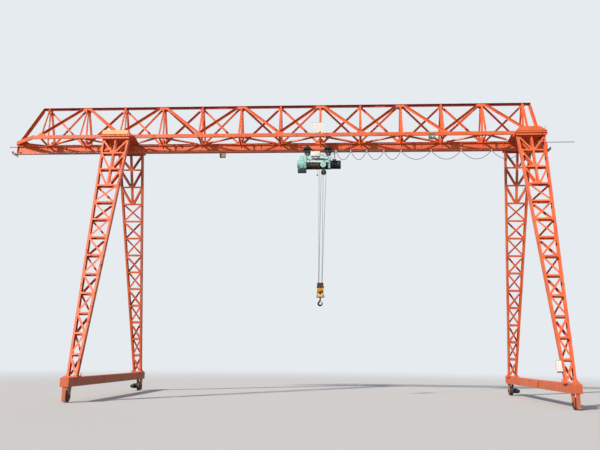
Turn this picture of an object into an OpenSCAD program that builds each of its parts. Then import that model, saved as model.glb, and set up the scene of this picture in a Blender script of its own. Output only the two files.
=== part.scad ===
// Truss gantry crane with a single running beam, four laced legs and an electric wire rope hoist.
// Millimetres. X runs along the girder, Y away from the near legs, Z up from the wheels' lowest points.
// Bars are drawn flat, in the plane that they lie in, and each plane is then turned into place.

/* [Girder] */
// Distance between the left and the right leg frames
span = 18000; // [16000:100:20000]
// Truss bays between the leg frames, an even number
bays_in_span = 10; // [8:2:12]
// Truss bays on the left overhang, an even number
overhang_bays = 2; // [2:2:4]
// Height of the underside of the running beam over the ground line
beam_underside = 10730; // [10400:10:11500]
// Depth of the running beam
beam_depth = 370; // [300:10:450]
// Width of the running beam's flanges
beam_flange_w = 140; // [120:5:160]
// Thickness of the running beam's flanges
beam_flange_t = 16; // [12:1:20]
// Thickness of the running beam's web
beam_web_t = 12; // [8:1:16]
// Length of the running beam past the first truss node on the left
beam_left_overhang = 1400; // [1200:50:1600]
// Length of the running beam past the right leg frame
beam_right_overhang = 1000; // [900:50:1300]
// Height of the top chord's middle over the running beam's top
truss_rise = 1780; // [1600:10:2000]
// Depth of the two angles of the top chord
top_chord_depth = 100; // [90:5:120]
// Width of the level legs of the top chord's angles
top_chord_flange = 95; // [85:1:105]
// Length of the top chord past its first node
top_left_overhang = 280; // [200:10:320]
// Length of the top chord past its last node
top_right_overhang = 390; // [250:10:450]
// Distance of each side chord's middle from the middle of the girder
side_chord_offset = 702; // [650:2:780]
// Depth of the side chord channels
side_chord_depth = 160; // [140:5:180]
// Flange width of the side chord channels
side_chord_flange = 65; // [55:1:75]
// Length of the side chords past the first node
side_left_overhang = 400; // [350:10:600]
// Length of the side chords past the last node
side_right_overhang = 750; // [700:10:850]
// Wall thickness of the chords
chord_t = 9; // [7:1:11]
// Leg width of the angles in the rakers at both ends
raker_w = 110; // [100:1:120]
// Drop of the side chords' bent ends towards the beam's tip
bent_end_drop = 60; // [40:5:80]

/* [Bracing] */
// Leg width of the angles in the face diagonals
diagonal_w = 95; // [80:1:105]
// Leg width of the angles in the centre diagonals
centre_w = 85; // [70:1:95]
// Leg width of the angles in the posts
post_w = 80; // [65:1:90]
// Leg width of the angles in the level bracing
lateral_w = 66; // [55:1:70]
// Thickness of all bracing angles
angle_t = 7; // [5:1:9]
// Thickness of the gusset plates
gusset_t = 10; // [8:1:10]
// Width of a gusset plate at the chord it is welded to
gusset_w = 420; // [300:10:500]
// Height of a gusset plate
gusset_h = 260; // [200:10:300]
// Running gap left at a weld between two members that lean
weld_gap = 0.3; // [0.2:0.1:0.5]

/* [Saddle beams] */
// Height of the cross beam that joins a near and a far leg
saddle_depth = 135; // [120:5:150]
// Width of the saddle beam along the girder
saddle_w = 1300; // [1260:10:1400]
// Height of the pad between a leg's head and the saddle beam
saddle_pad = 40; // [30:5:50]
// Distance from the middle of the girder to the outer end of the saddle beam
saddle_reach = 1270; // [1240:10:1300]
// Height of the raised bracket outside each side chord
bracket_h = 185; // [160:5:220]
// Width of the left saddle's brackets at their top
left_bracket_w = 1120; // [1000:10:1200]
// Width of the right saddle's brackets at their top
right_bracket_w = 840; // [700:10:1000]
// Shift of the right brackets' tops towards midspan
right_bracket_shift = 60; // [0:5:80]

/* [Legs] */
// Width of a leg over its posts at the top
leg_top_w = 1180; // [1100:10:1250]
// Width of a leg over its posts at the foot
leg_foot_w = 400; // [360:10:500]
// Depth of the post channels
leg_depth = 180; // [165:5:220]
// Flange width of the post channels
leg_flange = 85; // [75:1:95]
// Flange thickness of the post channels
leg_flange_t = 13; // [10:1:15]
// Web thickness of the post channels
leg_web_t = 9; // [7:1:12]
// Distance of the leg's axis from the middle of the girder at the top
leg_top_y = 1085; // [1060:5:1100]
// Distance of the leg's axis from the middle of the girder at the foot
leg_foot_y = 4035; // [3600:5:4200]
// Height of the first laced panel below the top
first_panel = 669; // [600:1:780]
// Number of laced panels under the first one
leg_panels = 12; // [10:1:14]
// Leg width of the lacing angles
lacing_w = 76; // [60:1:80]
// Thickness of the lacing angles
lacing_t = 6; // [5:1:8]
// Thickness of the head and foot plates of a leg
leg_plate_t = 20; // [16:2:30]

/* [Ground beams] */
// Height of the ground beam's top over the ground line
ground_beam_top = 880; // [820:10:950]
// Depth of the ground beam
ground_beam_depth = 330; // [280:10:340]
// Width of the ground beam
ground_beam_w = 320; // [300:10:360]
// Distance between the two wheels of a ground beam
wheelbase = 8900; // [8700:50:9400]
// Tread diameter of the rail wheels
wheel_d = 400; // [350:10:420]
// Tread width of the rail wheels
wheel_w = 90; // [80:2:100]
// Height of the wheel flanges over the tread
wheel_flange = 20; // [15:1:25]
// Width of a wheel flange
wheel_flange_w = 22; // [18:1:25]
// Wall thickness of the ground beam
ground_beam_t = 12; // [8:1:16]
// Diameter of the wheel axles
axle_d = 80; // [60:2:90]

/* [Hoist] */
// Place of the hook along the girder at rest, from midspan
hoist_x = 25; // [-400:5:400]
// Diameter of the trolley wheels
trolley_wheel_d = 140; // [130:2:150]
// Distance from hook to the middle of the left trolley
left_trolley = 602; // [580:2:640]
// Distance from hook to the middle of the right trolley
right_trolley = 330; // [320:2:360]
// Length of a trolley's side plates
trolley_plate_l = 330; // [320:2:340]
// Height of the drum's axis under the running beam
drum_drop = 634; // [625:1:660]
// Outer diameter of the rope drum
drum_d = 294; // [284:2:296]
// Diameter of the trolleys' drive motors
trolley_motor_d = 170; // [160:2:180]
// Diameter of the hoist motor
motor_d = 390; // [360:2:400]
// Diameter of the hoist rope
rope_d = 16; // [12:1:20]
// Height of the hook block's sheave axis at rest
block_z = 4670; // [4000:10:6000]
// Outer diameter of the hook block's sheaves
sheave_d = 340; // [300:5:360]
// Distance between the middles of the two block sheaves
sheave_gap = 134; // [126:2:150]

/* [Festoon] */
// Distance of the carrier wire from the middle of the girder
festoon_y = 550; // [480:5:580]
// Height of the carrier wire under the beam's underside
festoon_drop = 110; // [90:5:140]
// Diameter of the carrier wire
wire_d = 8; // [6:1:10]
// Diameter of the festoon cable
cable_d = 24; // [18:1:30]
// Sag of a cable loop between two carriers
loop_sag = 360; // [300:10:450]

/* [Fittings] */
// Width of the plate on the near side chord
sign_w = 510; // [400:10:600]
// Height of that plate
sign_h = 440; // [300:10:500]
// Size of a floodlight
lamp_w = 260; // [220:10:320]

/* [Hidden] */

$fn = 48;

paint = [0.86, 0.27, 0.10];
steel = [0.45, 0.45, 0.46];
dark = [0.13, 0.16, 0.18];
aqua = [0.62, 0.80, 0.76];
yellow = [0.93, 0.55, 0.12];
white = [0.90, 0.90, 0.88];

gusset_gap = gusset_t + 2 * weld_gap;

// Rods past the beam's ends set the middle of the whole machine
left_rod_l = 400;
right_rod_l = 1200;
rod_d = 26;
rod_lap = 120;
bay = span / bays_in_span;
last_node = overhang_bays + bays_in_span;
left_reach = span / 2 + overhang_bays * bay + beam_left_overhang;
right_reach = span / 2 + beam_right_overhang;
mid_x = (left_reach + left_rod_l - right_reach - right_rod_l) / 2;
beam_left_x = mid_x - left_reach;
beam_right_x = mid_x + right_reach;
function node_x(i) = mid_x - span / 2 + (i - overhang_bays) * bay;
function leg_x(side) = mid_x + side * span / 2;
// Over the saddle beams the centre posts stand on the saddle's block
function post_low(i) = (i == overhang_bays || i == last_node) ? saddle_depth + saddle_block_h + weld_gap : 0;

beam_top = beam_underside + beam_depth;
top_chord_z = beam_top + truss_rise;
top_chord_low = top_chord_z - top_chord_depth / 2;
top_chord_high = top_chord_z + top_chord_depth / 2;
top_chord_x0 = node_x(0) - top_left_overhang;
top_chord_x1 = node_x(last_node) + top_right_overhang;
saddle_top = beam_top + saddle_depth;
saddle_block_h = 100;
side_chord_low = saddle_top;
side_chord_high = side_chord_low + side_chord_depth;
side_chord_out = side_chord_offset + side_chord_flange / 2;
side_chord_in = side_chord_offset - side_chord_flange / 2;

// The near face leans from the side chord's top to the underside of the top chord's level legs
face_foot_y = side_chord_offset;
face_head_y = gusset_gap / 2 + top_chord_flange * 0.7;
face_top_z = top_chord_high - chord_t;
face_lean = atan2(face_top_z - side_chord_high, face_foot_y - face_head_y);
face_head_z = face_top_z - weld_gap - angle_t * cos(face_lean);
face_angle = atan2(face_head_z - side_chord_high - weld_gap, face_foot_y - face_head_y);
face_h = norm([face_foot_y - face_head_y, face_head_z - side_chord_high - weld_gap]);

// The level bracing runs from the beam's top flange out to the underside of each side chord
level_in_y = beam_flange_w / 2 - 45;
level_out_y = side_chord_out - 12;
level_angle = atan2(side_chord_low - angle_t - 2 - beam_top - weld_gap, level_out_y - level_in_y);
level_w = norm([level_out_y - level_in_y, side_chord_low - angle_t - 2 - beam_top - weld_gap]);

axle_z = wheel_d / 2 + wheel_flange;
leg_head_z = beam_top - leg_plate_t;
leg_foot_z = ground_beam_top + leg_plate_t;
leg_rise = beam_top - 115 - leg_foot_z;
leg_spread = leg_foot_y - leg_top_y;
leg_l = norm([leg_rise, leg_spread]);
leg_angle = atan2(leg_rise, leg_spread);
panel_h = (leg_rise - first_panel) / leg_panels;
function panel_y(i) = (leg_rise - (i == 0 ? 0 : first_panel + (i - 1) * panel_h)) * leg_l / leg_rise;
function leg_half(y) = (leg_foot_w + (leg_top_w - leg_foot_w) * y / leg_l) / 2;
function lace_x(y) = leg_half(y) - leg_flange / 2;
function lace_inset(p, q) =
    (leg_flange / 2 + lacing_w / 2 * norm(q - p) / abs(q.y - p.y) + 8) * abs(q.y - p.y) / abs(q.x - p.x);

hook_x = mid_x + hoist_x;
drum_z = beam_underside - drum_drop;
trolley_pin_z = beam_underside - 110;
hoist_beam_low = beam_underside - 360;
hoist_beam_depth = 70;
plate_gap = 12;
trolley_plate_y = beam_flange_w / 2 + plate_gap;
plate_t = 12;
tread_z = beam_underside + beam_flange_t;
axle_spread = 165;
cheek_x = sheave_gap / 2 + 58;
cheek_t = 20;
crosshead_drop = 397;
drum_x0 = -640;
drum_x1 = 334;
upper_sheave_z = drum_z - 300;
upper_sheave_x = 128;
upper_sheave_r = 120;
drum_ring_r = 177;
crosshead_d = 150;
nut_seat = crosshead_d / 2 + 8;

wire_z = beam_underside - festoon_drop;
festoon_steps = [0, 0.081, 0.168, 0.261, 0.354, 0.516, 0.677, 0.839, 1];
lead_x = 675;
festoon_end_x = mid_x + span / 2 - 250;
festoon_run = festoon_end_x - hook_x - lead_x;
function carrier_x(i) = hook_x + lead_x + festoon_steps[i] * festoon_run;
carrier_l = 46;
festoon_hang = 60;
saddle_r = 34;
loop_rings = 8;
cable_sides = 8;

module flat_bar(p, q, w, t) {
    half = w / 2 * norm(q - p) / abs(q.y - p.y);
    linear_extrude(t)
        polygon([[p.x - half, p.y], [p.x + half, p.y], [q.x + half, q.y], [q.x - half, q.y]]);
}

// An angle bar from p up to q, with level ends. Its standing leg runs along the upper edge, out of the plane
// or back through it, and stops short of both ends by the given inset
module angle_bar(p, q, w, t, inset, back = false) {
    slant = norm(q - p) / abs(q.y - p.y);
    half = w / 2 * slant;
    edge = q.x > p.x ? -1 : 1;
    a = p + (q - p) * inset / abs(q.y - p.y);
    b = q - (q - p) * inset / abs(q.y - p.y);
    near = edge * (half - t * slant);
    far = edge * (half - slant);
    flat_bar(p, q, w, t);
    translate([0, 0, back ? t - w : 0])
        linear_extrude(w)
            polygon([[a.x + near, a.y], [a.x + far, a.y], [b.x + far, b.y], [b.x + near, b.y]]);
}

// A level angle bar with its standing leg at the top, back through the plane
module level_bar(half_l, y, w, t, inset) {
    translate([-half_l, y - w / 2, 0])
        cube([2 * half_l, w, t]);
    translate([-half_l + inset, y + w / 2 - t, t - w])
        cube([2 * (half_l - inset), t, w]);
}

module gusset(x, y, up, w, h, t) {
    top_w = w * 0.5;
    linear_extrude(t)
        polygon([[x - w / 2, y], [x + w / 2, y], [x + top_w / 2, y + up * h], [x - top_w / 2, y + up * h]]);
}

module channel_x(x0, x1, depth, flange, t) {
    translate([x0, 0, 0])
        rotate([90, 0, 90])
            linear_extrude(x1 - x0)
                polygon([[0, 0], [flange, 0], [flange, t], [t, t], [t, depth - t], [flange, depth - t],
                    [flange, depth], [0, depth]]);
}

module angle_x(x0, x1, depth, flange, t) {
    translate([x0, 0, 0])
        rotate([90, 0, 90])
            linear_extrude(x1 - x0)
                polygon([[0, 0], [t, 0], [t, depth - t], [flange, depth - t], [flange, depth], [0, depth]]);
}

module rod(p, q, d) {
    v = q - p;
    translate(p)
        rotate([0, acos(v.z / norm(v)), atan2(v.y, v.x)])
            cylinder(h = norm(v), d = d);
}

module near_plane(x, y, z, angle) {
    translate([x, -y, z])
        rotate([angle, 0, 0])
            children();
}

// Girder

module main_beam() color(paint) {
    end_t = 10;
    beam_profile_l = beam_right_x - beam_left_x;
    translate([beam_left_x, 0, beam_underside])
        rotate([90, 0, 90])
            linear_extrude(beam_profile_l) {
                translate([-beam_flange_w / 2, 0])
                    square([beam_flange_w, beam_flange_t]);
                translate([-beam_flange_w / 2, beam_depth - beam_flange_t])
                    square([beam_flange_w, beam_flange_t]);
                translate([-beam_web_t / 2, 0])
                    square([beam_web_t, beam_depth]);
            }
    for (x = [beam_left_x, beam_right_x - end_t])
        translate([x, -beam_flange_w / 2, beam_underside])
            cube([end_t, beam_flange_w, beam_depth]);
}

module beam_end_stops() color(paint) {
    stop_l = 90;
    stop_h = 110;
    for (x = [beam_left_x + 60, beam_right_x - 60 - stop_l])
        for (side = [-1, 1])
            translate([x, side > 0 ? beam_web_t / 2 : -beam_flange_w / 2, tread_z])
                difference() {
                    cube([stop_l, beam_flange_w / 2 - beam_web_t / 2, stop_h]);
                    translate([12, side > 0 ? 12 : -12, 12])
                        cube([stop_l - 24, beam_flange_w / 2 - beam_web_t / 2, stop_h]);
                }
}

module top_chord() color(paint)
    for (side = [0, 1])
        mirror([0, side, 0])
            translate([0, gusset_gap / 2, top_chord_low])
                angle_x(top_chord_x0, top_chord_x1, top_chord_depth, top_chord_flange, chord_t);

module side_chord() color(paint)
    translate([0, side_chord_out, side_chord_low])
        mirror([0, 1, 0])
            channel_x(node_x(0) - side_left_overhang, node_x(last_node) + side_right_overhang,
                side_chord_depth, side_chord_flange, chord_t);

// The near chord has an upright at its right end
module near_side_chord() {
    mirror([0, 1, 0])
        side_chord();
    color(paint)
        translate([node_x(last_node) + side_right_overhang - 9, -side_chord_out + 5, side_chord_high - 1])
            cube([8, side_chord_flange - 10, 240]);
}

module far_side_chord() side_chord();

// Two angles back to back, in the middle plane of the girder
module raker(p, q)
    for (side = [0, 1])
        mirror([0, side, 0])
            translate([0, -gusset_gap / 2, 0])
                rotate([90, 0, 0])
                    angle_bar(p, q, raker_w, chord_t, 25);

// The side chords' bent ends, which meet over the tip of the running beam, with a seat below them, a plate
// across them and the raker that comes down from the top chord
module left_end_chords() color(paint) {
    bend_x = node_x(0) - side_left_overhang;
    tip_x = beam_left_x - 60;
    tip_low = side_chord_low - bent_end_drop;
    run = bend_x - tip_x;
    turn = atan2(side_chord_offset - 20, run);
    plan_l = norm([run, side_chord_offset - 20]);
    dip = atan2(bent_end_drop, plan_l);
    plate_t = 14;
    plate_l = 440;
    plate_z = tip_low + side_chord_depth / cos(dip) - 1;
    plate_dip = atan(tan(dip) / cos(turn));
    difference() {
        for (side = [0, 1])
            mirror([0, side, 0])
                translate([tip_x, 20, tip_low])
                    rotate([0, -dip, turn])
                        translate([-60, -side_chord_flange / 2, 0])
                            difference() {
                                cube([plan_l + 140, side_chord_flange, side_chord_depth]);
                                translate([-1, -chord_t, chord_t])
                                    cube([plan_l + 142, side_chord_flange, side_chord_depth - 2 * chord_t]);
                            }
        translate([bend_x - weld_gap, -side_chord_offset * 2, 0])
            cube([400, side_chord_offset * 4, top_chord_z]);
        translate([tip_x - 500, -side_chord_offset, 0])
            cube([500, side_chord_offset * 2, top_chord_z]);
    }
    translate([beam_left_x, -beam_flange_w / 2 + 5, beam_top])
        cube([120, beam_flange_w - 10, side_chord_low - bent_end_drop - beam_top + 12]);
    translate([tip_x, 0, plate_z])
        rotate([0, -plate_dip, 0])
            linear_extrude(plate_t)
                polygon([[1, -45], [plate_l, -20 - plate_l * tan(turn)], [plate_l, 20 + plate_l * tan(turn)], [1, 45]]);
    difference() {
        raker([tip_x + 250, plate_z + 250 * tan(plate_dip) + plate_t / 2],
            [top_chord_x0 + 110, top_chord_high + 70]);
        translate([top_chord_x0 - weld_gap, -500, top_chord_low - 500])
            cube([1000, 1000, 2000]);
        translate([top_chord_x0 - 1000, -500, top_chord_high])
            cube([2000, 1000, 500]);
    }
}

module right_end_raker() color(paint)
    raker([node_x(last_node) + side_right_overhang + 5, beam_top + weld_gap],
        [top_chord_x1 - 60, top_chord_low - weld_gap]);

// Bracing

module face_lattice() {
    rib_inset = 110;
    for (i = [1:2:last_node - 1])
        for (dir = [-1, 1])
            angle_bar([node_x(i + dir), 0], [node_x(i) + dir * 50, face_h], diagonal_w, angle_t, rib_inset);
    for (i = [0:last_node])
        angle_bar([node_x(i), 0], [node_x(i), face_h], post_w, angle_t, rib_inset);
    for (i = [0:2:last_node])
        gusset(node_x(i), 0, 1, gusset_w, gusset_h * 0.6, angle_t);
    for (i = [1:2:last_node - 1])
        gusset(node_x(i), face_h, -1, gusset_w, gusset_h * 0.6, angle_t);
}

module near_face_bracing() color(paint)
    near_plane(0, face_foot_y, side_chord_high + weld_gap, face_angle)
        face_lattice();

module far_face_bracing() mirror([0, 1, 0]) near_face_bracing();

module centre_bracing() color(paint) {
    high = top_chord_low - beam_top;
    rib_inset = 110;
    lap = 60;
    translate([0, -gusset_t / 2, beam_top])
        rotate([90, 0, 0]) {
            for (i = [1:2:last_node - 1])
                for (dir = [-1, 1])
                    angle_bar([node_x(i) + dir * 60, 0], [node_x(i + dir), high - weld_gap],
                        centre_w, angle_t, rib_inset);
            for (i = [0:last_node])
                angle_bar([node_x(i), post_low(i)], [node_x(i), high - weld_gap], post_w, angle_t, rib_inset);
        }
    translate([0, gusset_t / 2, beam_top])
        rotate([90, 0, 0]) {
            for (i = [1:2:last_node - 1])
                gusset(node_x(i), 0, 1, gusset_w, gusset_h, gusset_t);
            for (i = [0:2:last_node])
                gusset(node_x(i), post_low(i), 1, gusset_w * 0.6, gusset_h * 0.6, gusset_t);
            for (i = [0:last_node])
                gusset(node_x(i), high + lap, -1, gusset_w * 0.8, gusset_h * 0.7, gusset_t);
        }
}

// One side of the level bracing. Beside a saddle beam its diagonals end at the beam's flank
module level_lattice() {
    rib_inset = side_chord_flange + 12;
    post_clear = saddle_w / 2 + lateral_w / 2 + 5;
    bar_clear = saddle_w / 2 + lateral_w * 1.35 + 5;
    for (i = [0:2:last_node])
        for (dir = [-1, 1])
            if (i + dir >= 0 && i + dir <= last_node) {
                at_leg = i == overhang_bays || i == last_node;
                angle_bar([node_x(i) + dir * (at_leg ? bar_clear : 50), at_leg ? level_w * 0.3 : 0],
                    [node_x(i + dir), level_w], lateral_w, angle_t, rib_inset);
            }
    for (i = [0:last_node])
        if (i != overhang_bays && i != last_node)
            angle_bar([node_x(i), 0], [node_x(i), level_w], lateral_w, angle_t, rib_inset);
    for (side = [-1, 1])
        for (i = [overhang_bays, last_node])
            if (!(side == 1 && i == last_node))
                angle_bar([node_x(i) + side * post_clear, 0], [node_x(i) + side * post_clear, level_w],
                    lateral_w, angle_t, rib_inset);
}

module level_bracing() color(paint)
    for (side = [0, 1])
        mirror([0, side, 0])
            translate([0, level_in_y, beam_top + weld_gap])
                rotate([level_angle, 0, 0])
                    level_lattice();

// Saddle beams, which carry the girder on the legs

module saddle_beam(side, top_w, shift) color(paint)
    translate([leg_x(side), 0, 0]) {
        translate([-saddle_w / 2 + 50, -saddle_reach + 70, beam_top])
            cube([saddle_w - 100, 2 * saddle_reach - 140, saddle_pad + 1]);
        translate([-saddle_w / 2, -saddle_reach, beam_top + saddle_pad])
            cube([saddle_w, 2 * saddle_reach, saddle_depth - saddle_pad]);
        translate([-saddle_w / 2 + 60, -side_chord_in, saddle_top])
            cube([saddle_w - 120, 2 * side_chord_in, saddle_block_h]);
        for (end = [0, 1])
            mirror([0, end, 0])
                translate([0, saddle_reach, saddle_top])
                    rotate([90, 0, 0])
                        linear_extrude(saddle_reach - side_chord_out)
                            polygon([[-saddle_w / 2, 0], [saddle_w / 2, 0],
                                [top_w / 2 - shift, bracket_h], [-top_w / 2 - shift, bracket_h]]);
    }

module left_saddle_beam() saddle_beam(-1, left_bracket_w, 0);

module right_saddle_beam() saddle_beam(1, right_bracket_w, right_bracket_shift);

// Legs

module leg_post(side) {
    low = -60;
    high = leg_l + 160;
    web_p = [side * (leg_half(low) - leg_web_t / 2), low];
    web_q = [side * (leg_half(high) - leg_web_t / 2), high];
    flange_p = [side * (leg_half(low) - leg_flange / 2 - 1), low];
    flange_q = [side * (leg_half(high) - leg_flange / 2 - 1), high];
    translate([0, 0, -leg_depth / 2])
        flat_bar(web_p, web_q, leg_web_t, leg_depth);
    for (z = [-leg_depth / 2, leg_depth / 2 - leg_flange_t])
        translate([0, 0, z])
            flat_bar(flange_p, flange_q, leg_flange, leg_flange_t);
}

module leg_posts() {
    head_w = saddle_w - 20;
    head_y = leg_top_y - 70 / tan(leg_angle);
    difference() {
        near_plane(0, leg_foot_y, leg_foot_z, leg_angle)
            for (side = [-1, 1])
                leg_post(side);
        translate([-1500, -leg_foot_y - 1500, leg_head_z - 10])
            cube([3000, 3000 + leg_foot_y, 1000]);
        translate([-1500, -leg_foot_y - 1500, leg_foot_z - 990])
            cube([3000, 3000, 1000]);
    }
    translate([-head_w / 2, -saddle_reach, leg_head_z - 10])
        cube([head_w, 2 * (saddle_reach - head_y), leg_plate_t + 10]);
    translate([-head_w / 2, -saddle_reach, leg_head_z - 50])
        cube([head_w, 12, 60]);
    translate([-leg_foot_w / 2 - 70, -leg_foot_y - 210, ground_beam_top])
        cube([leg_foot_w + 140, 420, leg_plate_t + 10]);
}

function lacing_line(j, slope) =
    let (y0 = panel_y(j + 1), y1 = panel_y(j))
    slope > 0 ? [[-lace_x(y0), y0], [lace_x(y1), y1]] : [[lace_x(y0), y0], [-lace_x(y1), y1]];

// One laced face of a leg: V panels at the top, then single diagonals that change hands
module lacing_face(first) {
    v_panels = 3;
    for (j = [0:leg_panels])
        level_bar(leg_half(panel_y(j)) - leg_web_t, panel_y(j), lacing_w, lacing_t, leg_flange + 2);
    for (j = [0:v_panels - 1]) {
        y0 = panel_y(j + 1);
        y1 = panel_y(j);
        for (dir = [-1, 1])
            lacing_bar([dir * 40, y0], [dir * lace_x(y1), y1]);
        angle_bar([0, y0 + 11], [0, y1 - 11], lacing_w, lacing_t, lacing_w * 0.6, true);
        gusset(0, y0 - 4, 1, 260, 134, lacing_t);
    }
    for (j = [v_panels:leg_panels]) {
        slope = (j - v_panels) % 2 == 0 ? first : -first;
        line = lacing_line(j, slope);
        foot = j == leg_panels ? line[0] + (line[1] - line[0]) * 0.12 : line[0];
        lacing_bar(foot, line[1]);
    }
}

module lacing_bar(p, q)
    angle_bar(p, q, lacing_w, lacing_t, lace_inset(p, q), true);

// Seen from one side, the nearer faces of the near and the far leg are laced alike
module leg_lacing(first)
    near_plane(0, leg_foot_y, leg_foot_z, leg_angle) {
        translate([0, 0, leg_depth / 2 + weld_gap])
            lacing_face(first);
        mirror([0, 0, 1])
            translate([0, 0, leg_depth / 2 + weld_gap])
                lacing_face(-first);
    }

// Turns the near left leg's pieces into those of any leg
module at_leg(side_x, side_y) color(paint)
    translate([leg_x(side_x), 0, 0])
        mirror([side_x > 0 ? 1 : 0, 0, 0])
            mirror([0, side_y > 0 ? 1 : 0, 0])
                children();

module near_left_leg() at_leg(-1, -1) leg_posts();

module far_left_leg() at_leg(-1, 1) leg_posts();

module near_right_leg() at_leg(1, -1) leg_posts();

module far_right_leg() at_leg(1, 1) leg_posts();

module near_left_lacing() at_leg(-1, -1) leg_lacing(1);

module far_left_lacing() at_leg(-1, 1) leg_lacing(-1);

module near_right_lacing() at_leg(1, -1) leg_lacing(1);

module far_right_lacing() at_leg(1, 1) leg_lacing(-1);

// Ground beams and wheels

module ground_beam(side) color(paint)
    translate([leg_x(side), 0, 0]) {
        half_l = wheelbase / 2 + 280;
        fork_t = 20;
        fork_gap = wheel_w / 2 + wheel_flange_w + 8;
        low = ground_beam_top - ground_beam_depth;
        difference() {
            translate([-ground_beam_w / 2, -half_l, low])
                cube([ground_beam_w, 2 * half_l, ground_beam_depth]);
            translate([-ground_beam_w / 2 + ground_beam_t, -half_l - 1, low + ground_beam_t])
                cube([ground_beam_w - 2 * ground_beam_t, 2 * half_l + 2, ground_beam_depth - 2 * ground_beam_t]);
        }
        for (y = [-half_l - weld_gap - ground_beam_t, half_l + weld_gap])
            translate([-ground_beam_w / 2, y, low])
                cube([ground_beam_w, ground_beam_t, ground_beam_depth]);
        for (y = [-wheelbase / 2, wheelbase / 2])
            for (x = [-fork_gap - fork_t, fork_gap])
                translate([x, y, 0])
                    rotate([90, 0, 90])
                        linear_extrude(fork_t)
                            difference() {
                                polygon([[-180, low + 1], [-100, axle_z - 95], [100, axle_z - 95], [180, low + 1]]);
                                translate([0, axle_z])
                                    circle(d = axle_d + 0.6);
                            }
    }

module left_ground_beam() ground_beam(-1);

module right_ground_beam() ground_beam(1);

module rail_wheels(side) color(steel)
    translate([leg_x(side), 0, axle_z])
        for (y = [-wheelbase / 2, wheelbase / 2])
            translate([0, y, 0])
                rotate([0, 90, 0])
                    rotate_extrude($fn = 96) {
                        half_w = wheel_w / 2 + wheel_flange_w;
                        axle_half = half_w + 70;
                        polygon([[0, -axle_half], [axle_d / 2, -axle_half], [axle_d / 2, -half_w],
                            [wheel_d / 2 + wheel_flange, -half_w], [wheel_d / 2 + wheel_flange, -wheel_w / 2 - 4],
                            [wheel_d / 2, -wheel_w / 2], [wheel_d / 2, wheel_w / 2],
                            [wheel_d / 2 + wheel_flange, wheel_w / 2 + 4], [wheel_d / 2 + wheel_flange, half_w],
                            [axle_d / 2, half_w], [axle_d / 2, axle_half], [0, axle_half]]);
                    }

module left_rail_wheels() rail_wheels(-1);

module right_rail_wheels() rail_wheels(1);

// A geared motor on each far wheel, seated on the end of its axle
module travel_drives() color(dark) {
    gear_d = wheel_d * 0.62;
    gear_w = wheel_d * 0.37;
    drive_motor_d = wheel_d * 0.43;
    drive_motor_l = wheel_d * 1.1;
    for (side = [-1, 1])
        translate([leg_x(side) + side * (wheel_w / 2 + wheel_flange_w + 70 + weld_gap), wheelbase / 2, axle_z]) {
            rotate([0, side * 90, 0])
                cylinder(h = gear_w, d = gear_d);
            translate([side * gear_w * 0.57, -gear_d * 0.16, 0])
                rotate([90, 0, 0])
                    cylinder(h = drive_motor_l, d = drive_motor_d);
        }
}

// Fittings on the girder and legs

module sign_plate() color(white) {
    plate_t = 4;
    strap_w = 40;
    low = side_chord_high + 45;
    translate([mid_x - sign_w * 0.69, -side_chord_out - plate_t - weld_gap, low])
        cube([sign_w, plate_t, sign_h]);
    for (x = [mid_x - sign_w * 0.55, mid_x + sign_w * 0.1])
        translate([x, -side_chord_out - plate_t - weld_gap, side_chord_high - 60])
            cube([strap_w, plate_t, 110]);
}

// A floodlight that hangs on a strap of the given length, open towards -Y
module floodlight(w, strap) {
    body_d = w * 0.55;
    body_h = w * 0.9;
    rim = 12;
    difference() {
        translate([-w / 2, -body_d, -body_h])
            cube([w, body_d, body_h]);
        translate([-w / 2 + rim, -body_d - 1, -body_h + rim])
            cube([w - 2 * rim, body_d * 0.6, body_h - 2 * rim]);
    }
    translate([-25, -10, -40])
        cube([50, 10, strap + 40]);
}

module floodlights() color(white) {
    translate([node_x(last_node - 2) - bay * 0.3, -side_chord_out - weld_gap, side_chord_high - 115])
        floodlight(lamp_w, 90);
    translate([node_x(overhang_bays + 2) + bay * 0.46, side_chord_out + weld_gap, side_chord_low - 240])
        mirror([0, 1, 0])
            floodlight(lamp_w, 380);
    translate([leg_x(1) + saddle_w * 0.3, side_chord_out - 30, beam_top - 130])
        mirror([0, 1, 0])
            floodlight(lamp_w, 130 - weld_gap);
}

module end_rods() color(steel) {
    translate([beam_left_x - left_rod_l, 0, beam_top - 20])
        rotate([0, 90, 0])
            cylinder(h = left_rod_l, d = rod_d);
    translate([beam_right_x - rod_lap, 0, beam_top + rod_d / 2])
        rotate([0, 90, 0])
            cylinder(h = right_rod_l + rod_lap, d = rod_d);
}

// The wire, the two plates that hold it under the beam's ends, and the cable's end clamp
module festoon_wire() color(steel) {
    arm_t = 10;
    arm_h = festoon_drop + 15;
    x0 = beam_left_x + 15;
    x1 = beam_right_x - 15 - arm_t;
    for (x = [x0, x1])
        translate([x, -festoon_y - 25, beam_underside - weld_gap - arm_h])
            cube([arm_t, festoon_y + 25 + beam_flange_w / 2, arm_h]);
    translate([x0 + arm_t / 2, -festoon_y, wire_z])
        rotate([0, 90, 0])
            cylinder(h = x1 - x0, d = wire_d);
    translate([festoon_end_x - carrier_l / 2, -festoon_y - 12, wire_z - festoon_hang - 14])
        cube([carrier_l, 24, festoon_hang + 30]);
}

// One box on the near right leg and a small one at the near chord's right end
module switch_boxes() color(white) {
    near_plane(leg_x(1), leg_foot_y, leg_foot_z, leg_angle)
        translate([-leg_half(780) - weld_gap - 180, 380, -80])
            cube([180, 400, 160]);
    translate([node_x(last_node) + side_right_overhang + weld_gap, -side_chord_out + 2, side_chord_low + 10])
        cube([70, 60, 165]);
}

// Trolley and hoist

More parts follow.
